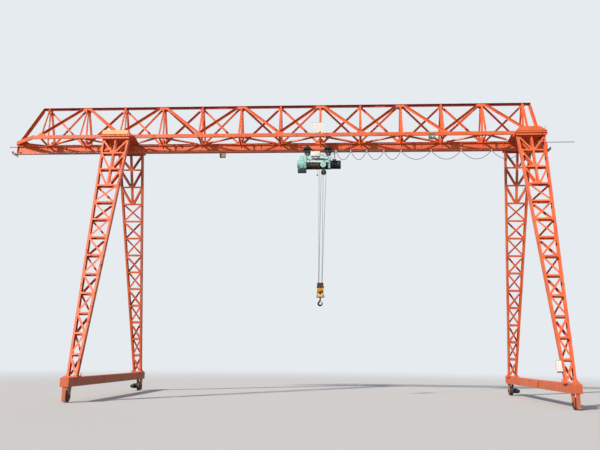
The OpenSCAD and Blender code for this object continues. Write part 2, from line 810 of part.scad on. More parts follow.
module trolley_frames() color(dark)
    translate([hook_x, 0, 0])
        for (cx = [-left_trolley, right_trolley])
            translate([cx, 0, 0]) {
                for (side = [0, 1])
                    mirror([0, side, 0])
                        translate([0, trolley_plate_y + plate_t, 0])
                            rotate([90, 0, 0])
                                linear_extrude(plate_t)
                                    polygon([[-trolley_plate_l / 2, beam_underside + 40],
                                        [-trolley_plate_l / 2, beam_underside + 150],
                                        [-trolley_plate_l / 2 + 50, beam_underside + 205],
                                        [trolley_plate_l / 2 - 50, beam_underside + 205],
                                        [trolley_plate_l / 2, beam_underside + 150],
                                        [trolley_plate_l / 2, beam_underside + 40],
                                        [60, trolley_pin_z - 50], [-60, trolley_pin_z - 50]]);
                translate([0, 0, trolley_pin_z])
                    rotate([90, 0, 0])
                        cylinder(h = 2 * trolley_plate_y, d = 50, center = true);
            }

module trolley_wheels() color(dark)
    translate([hook_x, 0, tread_z + trolley_wheel_d / 2 + 0.3])
        for (cx = [-left_trolley, right_trolley])
            for (dx = [-axle_spread / 2, axle_spread / 2])
                for (side = [0, 1])
                    mirror([0, side, 0])
                        translate([cx + dx, 0, 0])
                            rotate([-90, 0, 0]) {
                                translate([0, 0, beam_flange_w / 2 - 42])
                                    cylinder(h = 42, d = trolley_wheel_d);
                                translate([0, 0, beam_flange_w / 2 + 2])
                                    cylinder(h = 6, d = trolley_wheel_d + 12);
                                translate([0, 0, beam_flange_w / 2 - 4])
                                    cylinder(h = 15.7, d = 50);
                            }

// A gear case on the near side of each trolley, with its motor
module trolley_motors() color(dark)
    translate([hook_x, 0, tread_z + trolley_wheel_d / 2 + 40])
        for (cx = [-left_trolley, right_trolley])
            translate([cx, -trolley_plate_y - plate_t - weld_gap, 0]) {
                translate([-120, -60, -75])
                    cube([240, 60, 170]);
                rotate([90, 0, 0])
                    cylinder(h = 300, d = trolley_motor_d);
            }

// Two plates joined by cross webs, hung by lugs from the pins of both trolleys
module hoist_beam() color(aqua)
    translate([hook_x, 0, 0]) {
        plate_y = 70;
        plate_t = 18;
        lug_h = trolley_pin_z - hoist_beam_low + 45;
        for (side = [-1, 1])
            difference() {
                translate([0, side > 0 ? plate_y - plate_t : -plate_y, hoist_beam_low]) {
                    translate([drum_x0 + weld_gap, 0, 0])
                        cube([right_trolley + 120 - drum_x0 - weld_gap, plate_t, hoist_beam_depth]);
                    for (x = [-left_trolley, right_trolley])
                        translate([x - 35, 0, 0])
                            cube([70, plate_t, lug_h]);
                }
                for (cx = [-left_trolley, right_trolley])
                    translate([cx, -plate_y - 1, trolley_pin_z])
                        rotate([-90, 0, 0])
                            cylinder(h = 2 * plate_y + 2, d = 50.6);
            }
        for (x = [drum_x0 + 2, -300, 150, right_trolley + 80])
            translate([x, -plate_y + 1, hoist_beam_low + 10])
                cube([16, 2 * plate_y - 2, hoist_beam_depth - 20]);
    }

module rope_drum() color(steel)
    translate([hook_x, 0, drum_z])
        rotate([0, 90, 0]) {
            translate([0, 0, drum_x0])
                cylinder(h = drum_x1 - drum_x0, d = drum_d);
            for (z = [drum_x0, drum_x1 - 16])
                translate([0, 0, z])
                    cylinder(h = 16, d = drum_d + 46);
        }

module hoist_gearbox() color(aqua)
    translate([hook_x, 0, drum_z]) {
        translate([drum_x0 - weld_gap, 0, 0])
            rotate([90, 0, -90])
                linear_extrude(300)
                    polygon([[-150, -140], [150, -140], [205, 0], [195, 150], [110, 330], [75, 450], [-75, 450],
                        [-110, 330], [-195, 150], [-205, 0]]);
        translate([drum_x0 - 299, 0, 90])
            rotate([0, -90, 0])
                cylinder(h = 100, d = 380);
    }

module hoist_motor() color(dark)
    translate([hook_x, 0, drum_z + 45])
        rotate([0, 90, 0]) {
            translate([0, 0, drum_x1 + 82 + 2 * weld_gap])
                cylinder(h = 430, d = motor_d);
            translate([0, 0, drum_x1 + 82 + 430])
                cylinder(h = 50, d = motor_d - 90);
        }

module relay_box() color(white)
    translate([hook_x, 0, 0]) {
        translate([-440, -300, beam_underside - 270])
            cube([410, 190, 225]);
        for (x = [-400, -100])
            translate([x, -111, hoist_beam_low + 10])
                cube([30, 111 - 70 - weld_gap, beam_underside - 270 - hoist_beam_low + 40]);
    }

module control_box() color(dark)
    translate([hook_x, 0, 0])
        translate([drum_x0 - 385, -205, drum_z - 140 - weld_gap - 170])
            cube([380, 330, 170]);

// The end plate between drum and motor, the ring round the drum on its neck, the tie rods to the gearbox and
// the round guide in front of the ring
module sheave_hanger() color(aqua)
    translate([hook_x, 0, drum_z]) {
        ring_l = 60;
        ring_x = upper_sheave_x - ring_l / 2;
        guide_y = -drum_ring_r + 9;
        translate([drum_x1 + weld_gap, -150, -136])
            cube([82, 300, hoist_beam_low - weld_gap - drum_z + 136]);
        translate([ring_x, 0, 0])
            rotate([0, 90, 0])
                difference() {
                    union() {
                        cylinder(h = ring_l, r = drum_ring_r);
                        translate([-90, guide_y - 2, 0])
                            cube([180, 60, ring_l]);
                    }
                    translate([0, 0, -1])
                        cylinder(h = ring_l + 2, r = drum_d / 2 + 20);
                }
        for (at = [[-135, 131], [135, 131], [145, -120]])
            translate([drum_x0, at.x, at.y])
                rotate([0, 90, 0])
                    cylinder(h = drum_x1 - drum_x0 + 1, d = 24);
        translate([ring_x + 5, -100, drum_ring_r - 8])
            cube([ring_l - 10, 200, hoist_beam_low - weld_gap - drum_z - drum_ring_r + 8]);
        translate([111, guide_y, 0])
            rotate([90, 0, 0])
                difference() {
                    cylinder(h = 40, r = 127);
                    translate([0, 0, -1])
                        cylinder(h = 42, r = 60);
                }
    }

// The sheave, its pin and the two straps that hang from the ring round the drum
module upper_sheave() color(dark)
    translate([hook_x + upper_sheave_x, 0, upper_sheave_z]) {
        rotate([90, 0, 0]) {
            rotate_extrude()
                polygon([[0, -30], [upper_sheave_r, -30], [upper_sheave_r - 20, -9], [upper_sheave_r - 20, 9],
                    [upper_sheave_r, 30], [0, 30]]);
            cylinder(h = 110, d = 40, center = true);
        }
        difference() {
            for (y = [-48, 36])
                translate([-40, y, -45])
                    cube([80, 12, drum_z - upper_sheave_z + 45]);
            translate([-50, 0, drum_z - upper_sheave_z])
                rotate([0, 90, 0])
                    cylinder(h = 100, r = drum_ring_r + weld_gap);
            translate([0, -60, 0])
                rotate([-90, 0, 0])
                    cylinder(h = 120, d = 40.6);
        }
    }

// The weight that trips the upper limit switch, on its wire from the relay box
module limit_weight() color(dark)
    translate([hook_x - 146, -230, drum_z - 525]) {
        cylinder(h = 60, d = 60);
        cylinder(h = beam_underside - 270 - weld_gap - drum_z + 525, d = 6);
    }

// The arm that drags the first cable carrier along, with a finger on each side of it
module tow_arm() color(steel)
    translate([hook_x, 0, 0]) {
        arm_z = wire_z - festoon_hang - 60;
        arm_w = 40;
        x0 = lead_x - carrier_l / 2 - 6 - arm_w;
        translate([right_trolley + 60, -70 - weld_gap - 10, hoist_beam_low + 60])
            cube([x0 + arm_w - right_trolley - 60, 10, arm_w]);
        translate([x0, -70 - weld_gap - 10, hoist_beam_low + 60])
            cube([arm_w, 10, arm_z - hoist_beam_low - 60 + 10]);
        translate([x0, -festoon_y - 50, arm_z])
            cube([arm_w, festoon_y + 50 - 70 - weld_gap, 10]);
        translate([x0, -festoon_y - 50, arm_z])
            cube([arm_w + carrier_l + 20, 28, 10]);
        for (x = [lead_x - carrier_l / 2 - 6 - 8, lead_x + carrier_l / 2 + 6])
            translate([x, -festoon_y - 50, arm_z])
                cube([8, 33, 100]);
    }

// Hook block

// Two cheeks outside the sheaves, joined by a guard in front and one behind
module block_frame() color(yellow)
    translate([hook_x, 0, block_z]) {
        guard_t = 8;
        guard_y = sheave_d / 2 + 3;
        guard_low = -85 - sheave_d / 2;
        for (side = [-1, 1])
            translate([side * cheek_x - cheek_t / 2, 0, 0])
                rotate([90, 0, 90])
                    linear_extrude(cheek_t)
                        difference() {
                            polygon([[-60, -crosshead_drop - 70], [60, -crosshead_drop - 70], [75, -275],
                                [guard_y - 30, guard_low], [guard_y + guard_t, -80], [guard_y + guard_t, 50],
                                [-guard_y - guard_t, 50], [-guard_y - guard_t, -80], [-guard_y + 30, guard_low],
                                [-75, -275]]);
                            circle(d = 60.6);
                            translate([0, -crosshead_drop])
                                circle(d = 70.6);
                        }
        for (side = [0, 1])
            mirror([0, side, 0])
                translate([-cheek_x, 0, 0])
                    rotate([90, 0, 90])
                        linear_extrude(2 * cheek_x)
                            polygon([[guard_y, 49], [guard_y + guard_t - 1, 49], [guard_y + guard_t - 1, -80],
                                [guard_y - 32, guard_low + 2], [guard_y - 40, guard_low + 2], [guard_y, -80]]);
    }

module block_sheaves() color(dark)
    translate([hook_x, 0, block_z])
        rotate([0, 90, 0]) {
            for (z = [-sheave_gap / 2, sheave_gap / 2])
                translate([0, 0, z])
                    rotate_extrude()
                        polygon([[30.3, -30], [sheave_d / 2, -30], [sheave_d / 2 - 22, -9],
                            [sheave_d / 2 - 22, 9], [sheave_d / 2, 30], [30.3, 30]]);
            cylinder(h = 2 * cheek_x + cheek_t + 16, d = 60, center = true);
        }

// The crosshead turns on two trunnions in the cheeks, with a cap outside each one and a seat for the nut
module hook_crosshead() color(yellow)
    translate([hook_x, 0, block_z - crosshead_drop])
        difference() {
            union() {
                rotate([0, 90, 0]) {
                    cylinder(h = 2 * cheek_x - cheek_t - 2 * weld_gap, d = crosshead_d, center = true);
                    cylinder(h = 2 * cheek_x + cheek_t + 2 * weld_gap, d = 70, center = true);
                    for (side = [0, 1])
                        mirror([0, 0, side])
                            translate([0, 0, cheek_x + cheek_t / 2 + weld_gap])
                                cylinder(h = 38, d = 130);
                }
                cylinder(h = nut_seat, d = 126);
            }
            translate([0, 0, -100])
                cylinder(h = 250, d = 62.12);
        }

// The hook's shank hangs in the crosshead by its nut, and its bowl lies in the XZ plane
module lifting_hook() color(dark)
    translate([hook_x, 0, block_z - crosshead_drop]) {
        bowl_r = 84;
        thick = 68;
        drop = 320;
        back_at = 165;
        tip_at = 15;
        translate([0, 0, -drop + 105])
            cylinder(h = drop - 105 + nut_seat + 60, d = 62);
        translate([0, 0, nut_seat + weld_gap])
            cylinder(h = 48, d = 114);
        translate([0, 0, -drop])
            rotate([90, 0, 0])
                rotate([0, 0, back_at])
                    rotate_extrude(angle = 360 - back_at + tip_at)
                        translate([bowl_r, 0])
                            circle(d = thick);
        translate([bowl_r * cos(back_at), 0, -drop + bowl_r * sin(back_at)])
            rotate([0, 40, 0])
                cylinder(h = 130, d = 62);
        translate([bowl_r * cos(tip_at), 0, -drop + bowl_r * sin(tip_at)])
            rotate([0, -tip_at, 0])
                translate([0, 0, -4])
                    cylinder(h = 44, d1 = 66, d2 = 30);
    }

// Four falls: one off the drum, one to the anchor under the ring, and two up to the upper sheave
module hoist_ropes() color(steel)
    translate([hook_x, 0, 0]) {
        reach = sheave_d / 2 - 22 + rope_d / 2 + 0.5;
        g = sheave_gap / 2;
        low = block_z + 6;
        groove = upper_sheave_r - 20 + rope_d / 2 + 0.6;
        anchor_drop = sqrt(drum_ring_r * drum_ring_r - (reach - rope_d / 2) * (reach - rope_d / 2));
        rod([-g, -reach, low], [-70, -reach, drum_z - 5], rope_d);
        rod([g, -reach, low], [upper_sheave_x - 12, -reach, drum_z - anchor_drop - 1], rope_d);
        rod([-g, reach, low], [upper_sheave_x - groove, 0, upper_sheave_z], rope_d);
        rod([g, reach, low], [upper_sheave_x + groove, 0, upper_sheave_z], rope_d);
    }

// Festoon

function loop_point(a, b, z, sag, t) = [a + (b - a) * t, -festoon_y, z - sag * 4 * t * (1 - t)];

function ring(points, k, r) =
    let (last = len(points) - 1,
        before = points[max(k - 1, 0)],
        after = points[min(k + 1, last)],
        along = (after - before) / norm(after - before),
        level = cross(along, [0, 0, 1]),
        side = level / norm(level),
        up = cross(side, along))
    [for (s = [0:cable_sides - 1])
        points[k] + r * (cos(s * 360 / cable_sides) * side + sin(s * 360 / cable_sides) * up)];

module tube_along(points, r) {
    n = len(points);
    rings = [for (k = [0:n - 1]) each ring(points, k, r)];
    walls = [for (k = [0:n - 2]) for (s = [0:cable_sides - 1])
        let (t = (s + 1) % cable_sides)
        [k * cable_sides + s, k * cable_sides + t, (k + 1) * cable_sides + t, (k + 1) * cable_sides + s]];
    polyhedron(rings, concat([[for (s = [cable_sides - 1:-1:0]) s]], walls,
        [[for (s = [0:cable_sides - 1]) (n - 1) * cable_sides + s]]));
}

module festoon_cable() color(dark)
    for (i = [0:len(festoon_steps) - 2]) {
        run = carrier_x(i + 1) - carrier_x(i) - carrier_l;
        tilt = atan2(loop_sag * 4 * (1 - 1 / loop_rings), run - cable_d);
        gap = cable_d / 2 * sin(tilt) + weld_gap;
        tube_along([for (k = [0:loop_rings])
            loop_point(carrier_x(i) + carrier_l / 2 + gap, carrier_x(i + 1) - carrier_l / 2 - gap,
                wire_z - festoon_hang, loop_sag, k / loop_rings)], cable_d / 2);
    }

// The cable's last length, from the first carrier to the relay box
module hoist_cable() color(dark) {
    a = [hook_x + lead_x - carrier_l / 2 - 9, -festoon_y, wire_z - festoon_hang];
    b = [hook_x - 18, -205, beam_underside - 150];
    tube_along([for (k = [0:loop_rings])
        let (t = k / loop_rings) a + (b - a) * t - [0, 0, 150 * 4 * t * (1 - t)]], cable_d / 2);
}

module carrier(i) color(white)
    translate([carrier_x(i) - carrier_l / 2, -festoon_y, wire_z])
        rotate([90, 0, 90])
            linear_extrude(carrier_l)
                polygon([[-14, wire_d / 2 + 0.3], [10, wire_d / 2 + 0.3], [10, wire_d / 2 + 22],
                    [-22, wire_d / 2 + 22], [-22, -festoon_hang - cable_d / 2], [14, -festoon_hang - cable_d / 2],
                    [14, -festoon_hang + cable_d / 2], [-14, -festoon_hang + cable_d / 2]]);

module lead_carrier() carrier(0);

module carrier_1() carrier(1);

module carrier_2() carrier(2);

module carrier_3() carrier(3);

module carrier_4() carrier(4);

module carrier_5() carrier(5);

module carrier_6() carrier(6);

module carrier_7() carrier(7);

main_beam();
beam_end_stops();
top_chord();
near_side_chord();
far_side_chord();
left_end_chords();
right_end_raker();
near_face_bracing();
far_face_bracing();
centre_bracing();
level_bracing();
left_saddle_beam();
right_saddle_beam();
near_left_leg();
near_left_lacing();
far_left_leg();
far_left_lacing();
near_right_leg();
near_right_lacing();
far_right_leg();
far_right_lacing();
left_ground_beam();
right_ground_beam();
left_rail_wheels();
right_rail_wheels();
travel_drives();
sign_plate();
floodlights();
end_rods();
festoon_wire();
switch_boxes();
trolley_frames();
trolley_wheels();
trolley_motors();
hoist_beam();
rope_drum();
hoist_gearbox();
hoist_motor();
relay_box();
control_box();
sheave_hanger();
upper_sheave();
limit_weight();
block_frame();
block_sheaves();
hook_crosshead();
lifting_hook();
hoist_ropes();
tow_arm();
hoist_cable();
festoon_cable();
lead_carrier();
carrier_1();
carrier_2();
carrier_3();
carrier_4();
carrier_5();
carrier_6();
carrier_7();
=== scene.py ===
# %% [markdown]
# A truss gantry crane: a running beam hung in a braced girder, four laced legs on two wheeled ground beams,
# and an electric rope hoist that runs along the beam's lower flange. The big steelwork comes as a fixed frame
# from the drawing. This lesson gives it paint, steel and rubber, and adds the smaller fittings. All lengths
# are metres, X runs along the girder, Y away from the viewer and Z up.

# %% Load the frame
import bpy
import bmesh
from itertools import product
from math import atan2, cos, hypot, pi, radians, sin, sqrt
from mathutils import Matrix, Vector


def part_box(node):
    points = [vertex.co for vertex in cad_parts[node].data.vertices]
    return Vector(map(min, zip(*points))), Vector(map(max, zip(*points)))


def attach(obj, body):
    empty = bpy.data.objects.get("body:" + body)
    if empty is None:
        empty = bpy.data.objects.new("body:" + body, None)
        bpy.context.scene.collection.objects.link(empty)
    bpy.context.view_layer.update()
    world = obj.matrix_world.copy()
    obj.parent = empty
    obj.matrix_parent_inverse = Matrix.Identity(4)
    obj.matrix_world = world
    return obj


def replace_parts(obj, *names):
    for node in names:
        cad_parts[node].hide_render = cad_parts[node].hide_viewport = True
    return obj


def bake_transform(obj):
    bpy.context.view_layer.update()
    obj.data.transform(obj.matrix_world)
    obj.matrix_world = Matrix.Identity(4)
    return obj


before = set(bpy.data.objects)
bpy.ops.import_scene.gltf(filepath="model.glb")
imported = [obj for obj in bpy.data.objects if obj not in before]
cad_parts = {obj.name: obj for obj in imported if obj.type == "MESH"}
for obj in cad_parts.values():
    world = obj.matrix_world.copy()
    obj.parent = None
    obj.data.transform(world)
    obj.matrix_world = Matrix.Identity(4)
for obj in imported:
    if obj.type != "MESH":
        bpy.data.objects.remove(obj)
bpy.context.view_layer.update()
at = Matrix.Translation
MID = 1.6

# %% [markdown]
# The camera stands on the ground, about 28 m in front of the girder and a little right of its middle, and
# looks up at it. Its rotation is built from the yaw, pitch and roll that the picture shows, as three axes.

# %% Camera
def aim(yaw, pitch, roll):
    ahead = Vector((sin(yaw) * cos(pitch), cos(yaw) * cos(pitch), sin(pitch)))
    right = Vector((cos(yaw), -sin(yaw), 0))
    up = right.cross(ahead)
    side = cos(roll) * right + sin(roll) * up
    top = -sin(roll) * right + cos(roll) * up
    return Matrix((side, top, -ahead)).transposed().to_4x4()


def put(name, data):
    """Puts an object with that data into the scene."""
    made = bpy.data.objects.new(name, data)
    bpy.context.collection.objects.link(made)
    return made


SENSOR_MM, PICTURE_PX, FOCAL_PX = 36.0, 600.0, 663.7
lens = bpy.data.cameras.new("camera")
lens.sensor_width = SENSOR_MM
lens.lens = FOCAL_PX * SENSOR_MM / PICTURE_PX
lens.clip_end = 500.0
camera = put("camera", lens)
camera.matrix_world = at((MID + 0.86, -28.633, 1.708)) @ aim(-0.0607, 0.1957, 0.0107)
bpy.context.scene.camera = camera
bpy.context.scene.view_settings.view_transform = "Standard"
print("lens", round(lens.lens, 2), "mm")

# %% [markdown]
# A pale floor and a pale surround. A warm sun from the front left is the key light, a weaker one from the
# right fills the shaded faces, a third stands behind, and the world gives the rest. Only the camera sees the
# floor pale: light that bounces meets a darker one, which keeps the shadows under the girder. Camera, glossy
# and transmitted rays alone see the surround, so it adds no light to the paint.

# %% Floor, world and lamps
def linear(code):
    parts = [int(code[i:i + 2], 16) / 255 for i in (1, 3, 5)]
    return tuple(c / 12.92 if c <= 0.04045 else ((c + 0.055) / 1.055) ** 2.4 for c in parts) + (1.0,)


easel = []


def add(kind, inputs=None, **settings):
    """Adds a node to the tree on the easel. An input is a value, a colour's code or another node's output."""
    tree = easel[-1]
    made = tree.nodes.new("ShaderNode" + kind)
    for name, value in settings.items():
        setattr(made, name, value)
    for name, value in (inputs or {}).items():
        if isinstance(value, bpy.types.NodeSocket):
            tree.links.new(value, made.inputs[name])
        else:
            made.inputs[name].default_value = linear(value) if isinstance(value, str) else value
    return made.outputs


def maths(operation, *values):
    return add("Math", dict(enumerate(values)), operation=operation)[0]


def mixed(share, first, second):
    return add("Mix", {0: share, 6: first, 7: second}, data_type="RGBA")[2]


BACKDROP = "#E6EBF0"
world = bpy.data.worlds.new("surround")
bpy.context.scene.world = world
world.use_nodes = True
world.node_tree.nodes.clear()
easel.append(world.node_tree)
path = add("LightPath")
seen = maths("MAXIMUM", path["Is Camera Ray"], path["Is Glossy Ray"])
seen = maths("MAXIMUM", seen, path["Is Transmission Ray"])
ambient = add("Background", {"Color": "#DDE6F2", "Strength": 0.28})[0]
shown = add("Background", {"Color": BACKDROP, "Strength": 1.0})[0]
add("OutputWorld", {"Surface": add("MixShader", {0: seen, 1: ambient, 2: shown})[0]})


def lamp(name, azimuth, elevation, strength, spread, tint):
    """A sun. Its azimuth counts from the viewer to the right, and all its angles are degrees."""
    data = bpy.data.lights.new(name, "SUN")
    data.energy = strength
    data.angle = radians(spread)
    data.color = linear(tint)[:3]
    made = put(name, data)
    a, e = radians(azimuth), radians(elevation)
    towards = Vector((sin(a) * cos(e), -cos(a) * cos(e), sin(e)))
    made.rotation_mode = "QUATERNION"
    made.rotation_quaternion = (-towards).to_track_quat("-Z", "Y")


lamp("key", -42, 31, 4.2, 3, "#FFF2E4")
lamp("fill", 60, 25, 0.22, 40, "#EAF1FF")
lamp("back", 190, 35, 0.45, 40, "#F4F7FF")


def new_mesh(name, bm):
    mesh = bpy.data.meshes.new(name)
    bm.to_mesh(mesh)
    bm.free()
    return put(name, mesh)


def matter(name):
    """Starts a material and puts its empty tree on the easel."""
    made = bpy.data.materials.new(name)
    made.use_nodes = True
    made.node_tree.nodes.clear()
    easel.append(made.node_tree)
    return made


ground = bmesh.new()
bmesh.ops.create_grid(ground, x_segments=1, y_segments=1, size=150, matrix=at((MID, 60, -0.002)))
floor = new_mesh("floor", ground)
concrete = matter("pale_floor")
tone = mixed(add("LightPath")["Is Camera Ray"], "#6A6560", "#D2D5D8")
plain = add("BsdfDiffuse", {"Color": tone})[0]
far = add("Emission", {"Color": BACKDROP, "Strength": 1.0})[0]
shifted = add("Mapping", {"Vector": add("TexCoord")["Object"], "Location": (-MID, 0, 0)})[0]
reach = add("VectorMath", {0: shifted}, operation="LENGTH")["Value"]
fade = add("MapRange", {"Value": reach, "From Min": 16.0, "From Max": 60.0}, interpolation_type="SMOOTHSTEP")
add("OutputMaterial", {"Surface": add("MixShader", {0: fade[0], 1: plain, 2: far})[0]})
floor.data.materials.append(concrete)
print("stage ready")

# %% [markdown]
# Structural paint on such a crane is an alkyd enamel, sprayed or rolled outdoors. It shows four things: a
# slow fading from panel to panel, streaks of dust that rain drags down, a fine orange peel, and rust that
# starts as specks. Each is a noise sized in millimetres on Object coordinates, so it fits every beam.

# %% Painted steel
def per(mm):
    """A noise scale whose features are about that many millimetres wide."""
    return 1000.0 / mm


def noise(place, mm, detail=2.0, roughness=0.5):
    return add("TexNoise", {"Vector": place, "Scale": per(mm), "Detail": detail,
                            "Roughness": roughness})["Fac"]


def ranged(value, low=0.0, high=1.0, to_low=0.0, to_high=1.0):
    return add("MapRange", {"Value": value, "From Min": low, "From Max": high, "To Min": to_low,
                            "To Max": to_high})[0]


def dented(height, strength, depth):
    return add("Bump", {"Height": height, "Strength": strength, "Distance": depth})[0]


def surfaced(made, **inputs):
    """Ends a material with its shader, whose inputs are named with _ for a space, and gives it back."""
    named = {name.replace("_", " "): value for name, value in inputs.items()}
    shader = add("BsdfPrincipled", named)[0]
    add("OutputMaterial", {"Surface": shader})
    return made


STREAK, PEEL = 0.35, 0.18
MUD = "#94806C"


def painted(name, base, faded, shaded, rough=0.46, rust_share=0.60, rust="#7A3B1E", darker_band=None,
            splash=None):
    """The enamel. Between the two heights of a darker band the rust colour grows thicker downwards, and up to
    the splash's height mud dries on it."""
    made = matter(name)
    place = add("TexCoord")["Object"]
    skin = mixed(ranged(noise(place, 900, 3.0, 0.55), 0.35, 0.68), base, faded)
    drawn = add("Mapping", {"Vector": place, "Scale": (1.0, 1.0, 0.07)})[0]
    rain = noise(drawn, 55, 4.0, 0.6)
    skin = mixed(ranged(rain, 0.50, 0.78, 0.0, STREAK), skin, shaded)
    speck = noise(place, 38, 5.0, 0.65)
    both = maths("ADD", speck, noise(place, 420))
    if darker_band:
        height = add("SeparateXYZ", {0: place})["Z"]
        both = maths("ADD", both, ranged(height, *darker_band, 0.42, 0.0))
    rusty = ranged(both, rust_share * 2, rust_share * 2 + 0.07)
    skin = mixed(rusty, skin, rust)
    if splash:
        height = add("SeparateXYZ", {0: place})["Z"]
        muddy = maths("MULTIPLY", ranged(height, 0.0, splash, 0.95, 0.0), speck)
        skin = mixed(muddy, skin, MUD)
    gloss = ranged(rain, to_low=rough - 0.06, to_high=rough + 0.16)
    dull = add("Mix", {0: rusty, 2: gloss, 3: 0.85}, data_type="FLOAT")[0]
    return surfaced(made, Base_Color=skin, Metallic=0.0, Roughness=dull, IOR=1.5,
                    Normal=dented(noise(place, 7), PEEL, 0.0012))


ORANGE = painted("alkyd_orange_enamel", "#E06132", "#E97748", "#B04E2E", rust="#6E3020", splash=1.1)
# A darker copy of the orange enamel, for the top chord and its battens: painted shade.
SHADED_ORANGE = painted("orange_enamel_painted_shade", "#A2331F", "#B04229", "#7E2B1C", rust="#5A2A1C")
AQUA = painted("alkyd_pale_green_enamel", "#93CFCB", "#A6DAD6", "#659A97", 0.38, 0.62)
TEAL = painted("alkyd_dark_green_enamel", "#183C3A", "#224B48", "#122927", 0.42, 0.62)
NAVY = painted("alkyd_dark_blue_enamel", "#1B2B3A", "#26384A", "#141C24", 0.40, 0.62)
MOTOR_GREEN = painted("black_green_motor_enamel", "#161E1D", "#202A28", "#0E1312", 0.42, 0.62)
sheaves_low, sheaves_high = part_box("block_sheaves")
guards_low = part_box("block_frame")[1].z - 0.135 - (sheaves_high.z - sheaves_low.z) / 2
# The block's frame grows darker towards its lower edge, mixed with the rust colour.
YELLOW = painted("alkyd_yellow_enamel", "#E8A224", "#EDB548", "#A86E2A", 0.45, 0.625, rust="#8A4426",
                 darker_band=(guards_low, guards_low + 0.12))
PALE_YELLOW = painted("weathered_yellow_enamel", "#D2C25C", "#DACC78", "#A08E42", 0.5, 0.64)
LAMP_GREY = painted("olive_grey_lamp_enamel", "#8E8B74", "#A09D86", "#6A6754", 0.5, 0.64)
BUFF = painted("pale_yellow_board_enamel", "#F0B068", "#F5C382", "#D08A55", 0.45, 0.64)
WHITE = painted("powder_coated_white_sheet", "#E6E6E0", "#EFEFEB", "#B9B7AC", 0.40, 0.64)
print("paints:", len(bpy.data.materials))

# %% [markdown]
# Bare steels differ by how they were made. A rail wheel is cast and rough. Hot dip galvanised strip has large
# zinc crystals, the spangle. A wire rope is bright drawn wire, dark with grease.

# %% Bare metals, rubber and glass
def cast(name, base, light, rough=0.62, metallic=0.6, grit=9):
    made = matter(name)
    place = add("TexCoord")["Object"]
    mottled = noise(place, 70, 5.0, 0.6)
    return surfaced(made, Base_Color=mixed(ranged(mottled, 0.35, 0.7), base, light), Metallic=metallic,
                    Roughness=ranged(mottled, to_low=rough - 0.1, to_high=rough + 0.15),
                    Normal=dented(noise(place, grit, 3.0), 0.35, 0.0015))


def spangled(name, base, light, rough=0.42):
    made = matter(name)
    place = add("TexCoord")["Object"]
    crystal = add("TexVoronoi", {"Vector": place, "Scale": per(22)})["Color"]
    tone = add("SeparateColor", {"Color": crystal})
    return surfaced(made, Base_Color=mixed(tone[0], base, light), Metallic=0.9,
                    Roughness=ranged(tone[1], to_low=rough - 0.08, to_high=rough + 0.12))


def stranded(name, base, groove, d_mm=16, strands=6):
    """Wire rope: its strands wind once about it in six and a half diameters. The UV map "along" holds the
    turn about the rope and the metres along it, so one phase of both gives the slanting grooves."""
    made = matter(name)
    turned_by = add("SeparateXYZ", {0: add("UVMap", uv_map="along")[0]})
    wound = maths("MULTIPLY", turned_by["Y"], per(6.5 * d_mm))
    phase = maths("MULTIPLY", maths("ADD", turned_by["X"], wound), 2 * pi * strands)
    strand = ranged(maths("COSINE", phase), -1.0, 0.2)
    return surfaced(made, Base_Color=mixed(strand, groove, base), Metallic=0.3, Roughness=0.5,
                    Normal=dented(strand, 0.5, 0.0015))


def moulded(name, base, light, rough, grit=12):
    made = matter(name)
    place = add("TexCoord")["Object"]
    return surfaced(made, Base_Color=mixed(noise(place, 160, 4.0), base, light), Metallic=0.0,
                    Roughness=rough, IOR=1.5, Normal=dented(noise(place, grit), 0.2, 0.0008))


def glazed(name, tint, rough=0.04):
    made = matter(name)
    dust = noise(add("TexCoord")["Object"], 60, 4.0)
    return surfaced(made, Base_Color=tint, IOR=1.5, Transmission_Weight=0.95,
                    Roughness=ranged(dust, 0.45, 0.8, rough, 0.35))


CAST = cast("cast_steel_wheel", "#4A4644", "#6A6461")
DARK = cast("greased_forged_steel", "#131313", "#252322", rough=0.5, metallic=0.25)
ZINC = spangled("hot_dip_galvanised_steel", "#9A9FA3", "#C2C6C9")
BOLT = spangled("zinc_plated_bolts", "#8E9295", "#B8BCC0", rough=0.35)
ROPE = stranded("greased_wire_rope", "#44423F", "#2C2A28")
RUBBER = moulded("cable_jacket_rubber", "#404347", "#565A5F", 0.62)
BUFFER = moulded("cast_polyurethane_buffer", "#2A2A2B", "#3A3A3B", 0.55)
DRUM = cast("greasy_cast_iron_drum", "#1A1917", "#2C2925", rough=0.45)
WOUND = cast("greased_rope_on_drum", "#2E2720", "#5A4632", rough=0.48, metallic=0.5, grit=6)
COVER_BROWN = cast("weathered_sheet_steel", "#3A2A20", "#5C3F2B", rough=0.7, metallic=0.3)
REFLECTOR = cast("anodised_aluminium_reflector", "#C9CBC6", "#DADBD6", rough=0.3, metallic=1.0, grit=30)
PANE = glazed("tempered_lamp_glass", "#EDF2F0")
print("materials:", len(bpy.data.materials))

# %% [markdown]
# The drawing's own pieces keep their shapes, so each only gets the finish of its real counterpart.

# %% Finishes on the frame's pieces
FINISH = {
    ORANGE: ["main_beam", "beam_end_stops", "near_side_chord", "far_side_chord", "left_end_chords",
             "right_end_raker", "near_face_bracing", "far_face_bracing", "centre_bracing", "level_bracing",
             "left_saddle_beam", "right_saddle_beam", "left_ground_beam", "right_ground_beam"],
    CAST: ["left_rail_wheels", "right_rail_wheels"],
    WHITE: ["sign_plate", "relay_box", "switch_boxes"],
    LAMP_GREY: ["floodlights"],
    ZINC: ["tow_arm", "festoon_wire"],
    TEAL: ["control_box"],
    MOTOR_GREEN: ["trolley_frames"],
    # The top chord takes the darker copy of the orange: painted shade.
    SHADED_ORANGE: ["top_chord"],
    DARK: ["trolley_wheels", "upper_sheave", "limit_weight", "block_sheaves", "end_rods"],
    AQUA: ["hoist_beam", "hoist_gearbox", "sheave_hanger"],
    YELLOW: ["block_frame"],
    PALE_YELLOW: ["hook_crosshead"],
}
FINISH[ORANGE] += ["%s_%s_%s" % (face, end, part) for face in ("near", "far") for end in ("left", "right")
                   for part in ("leg", "lacing")]
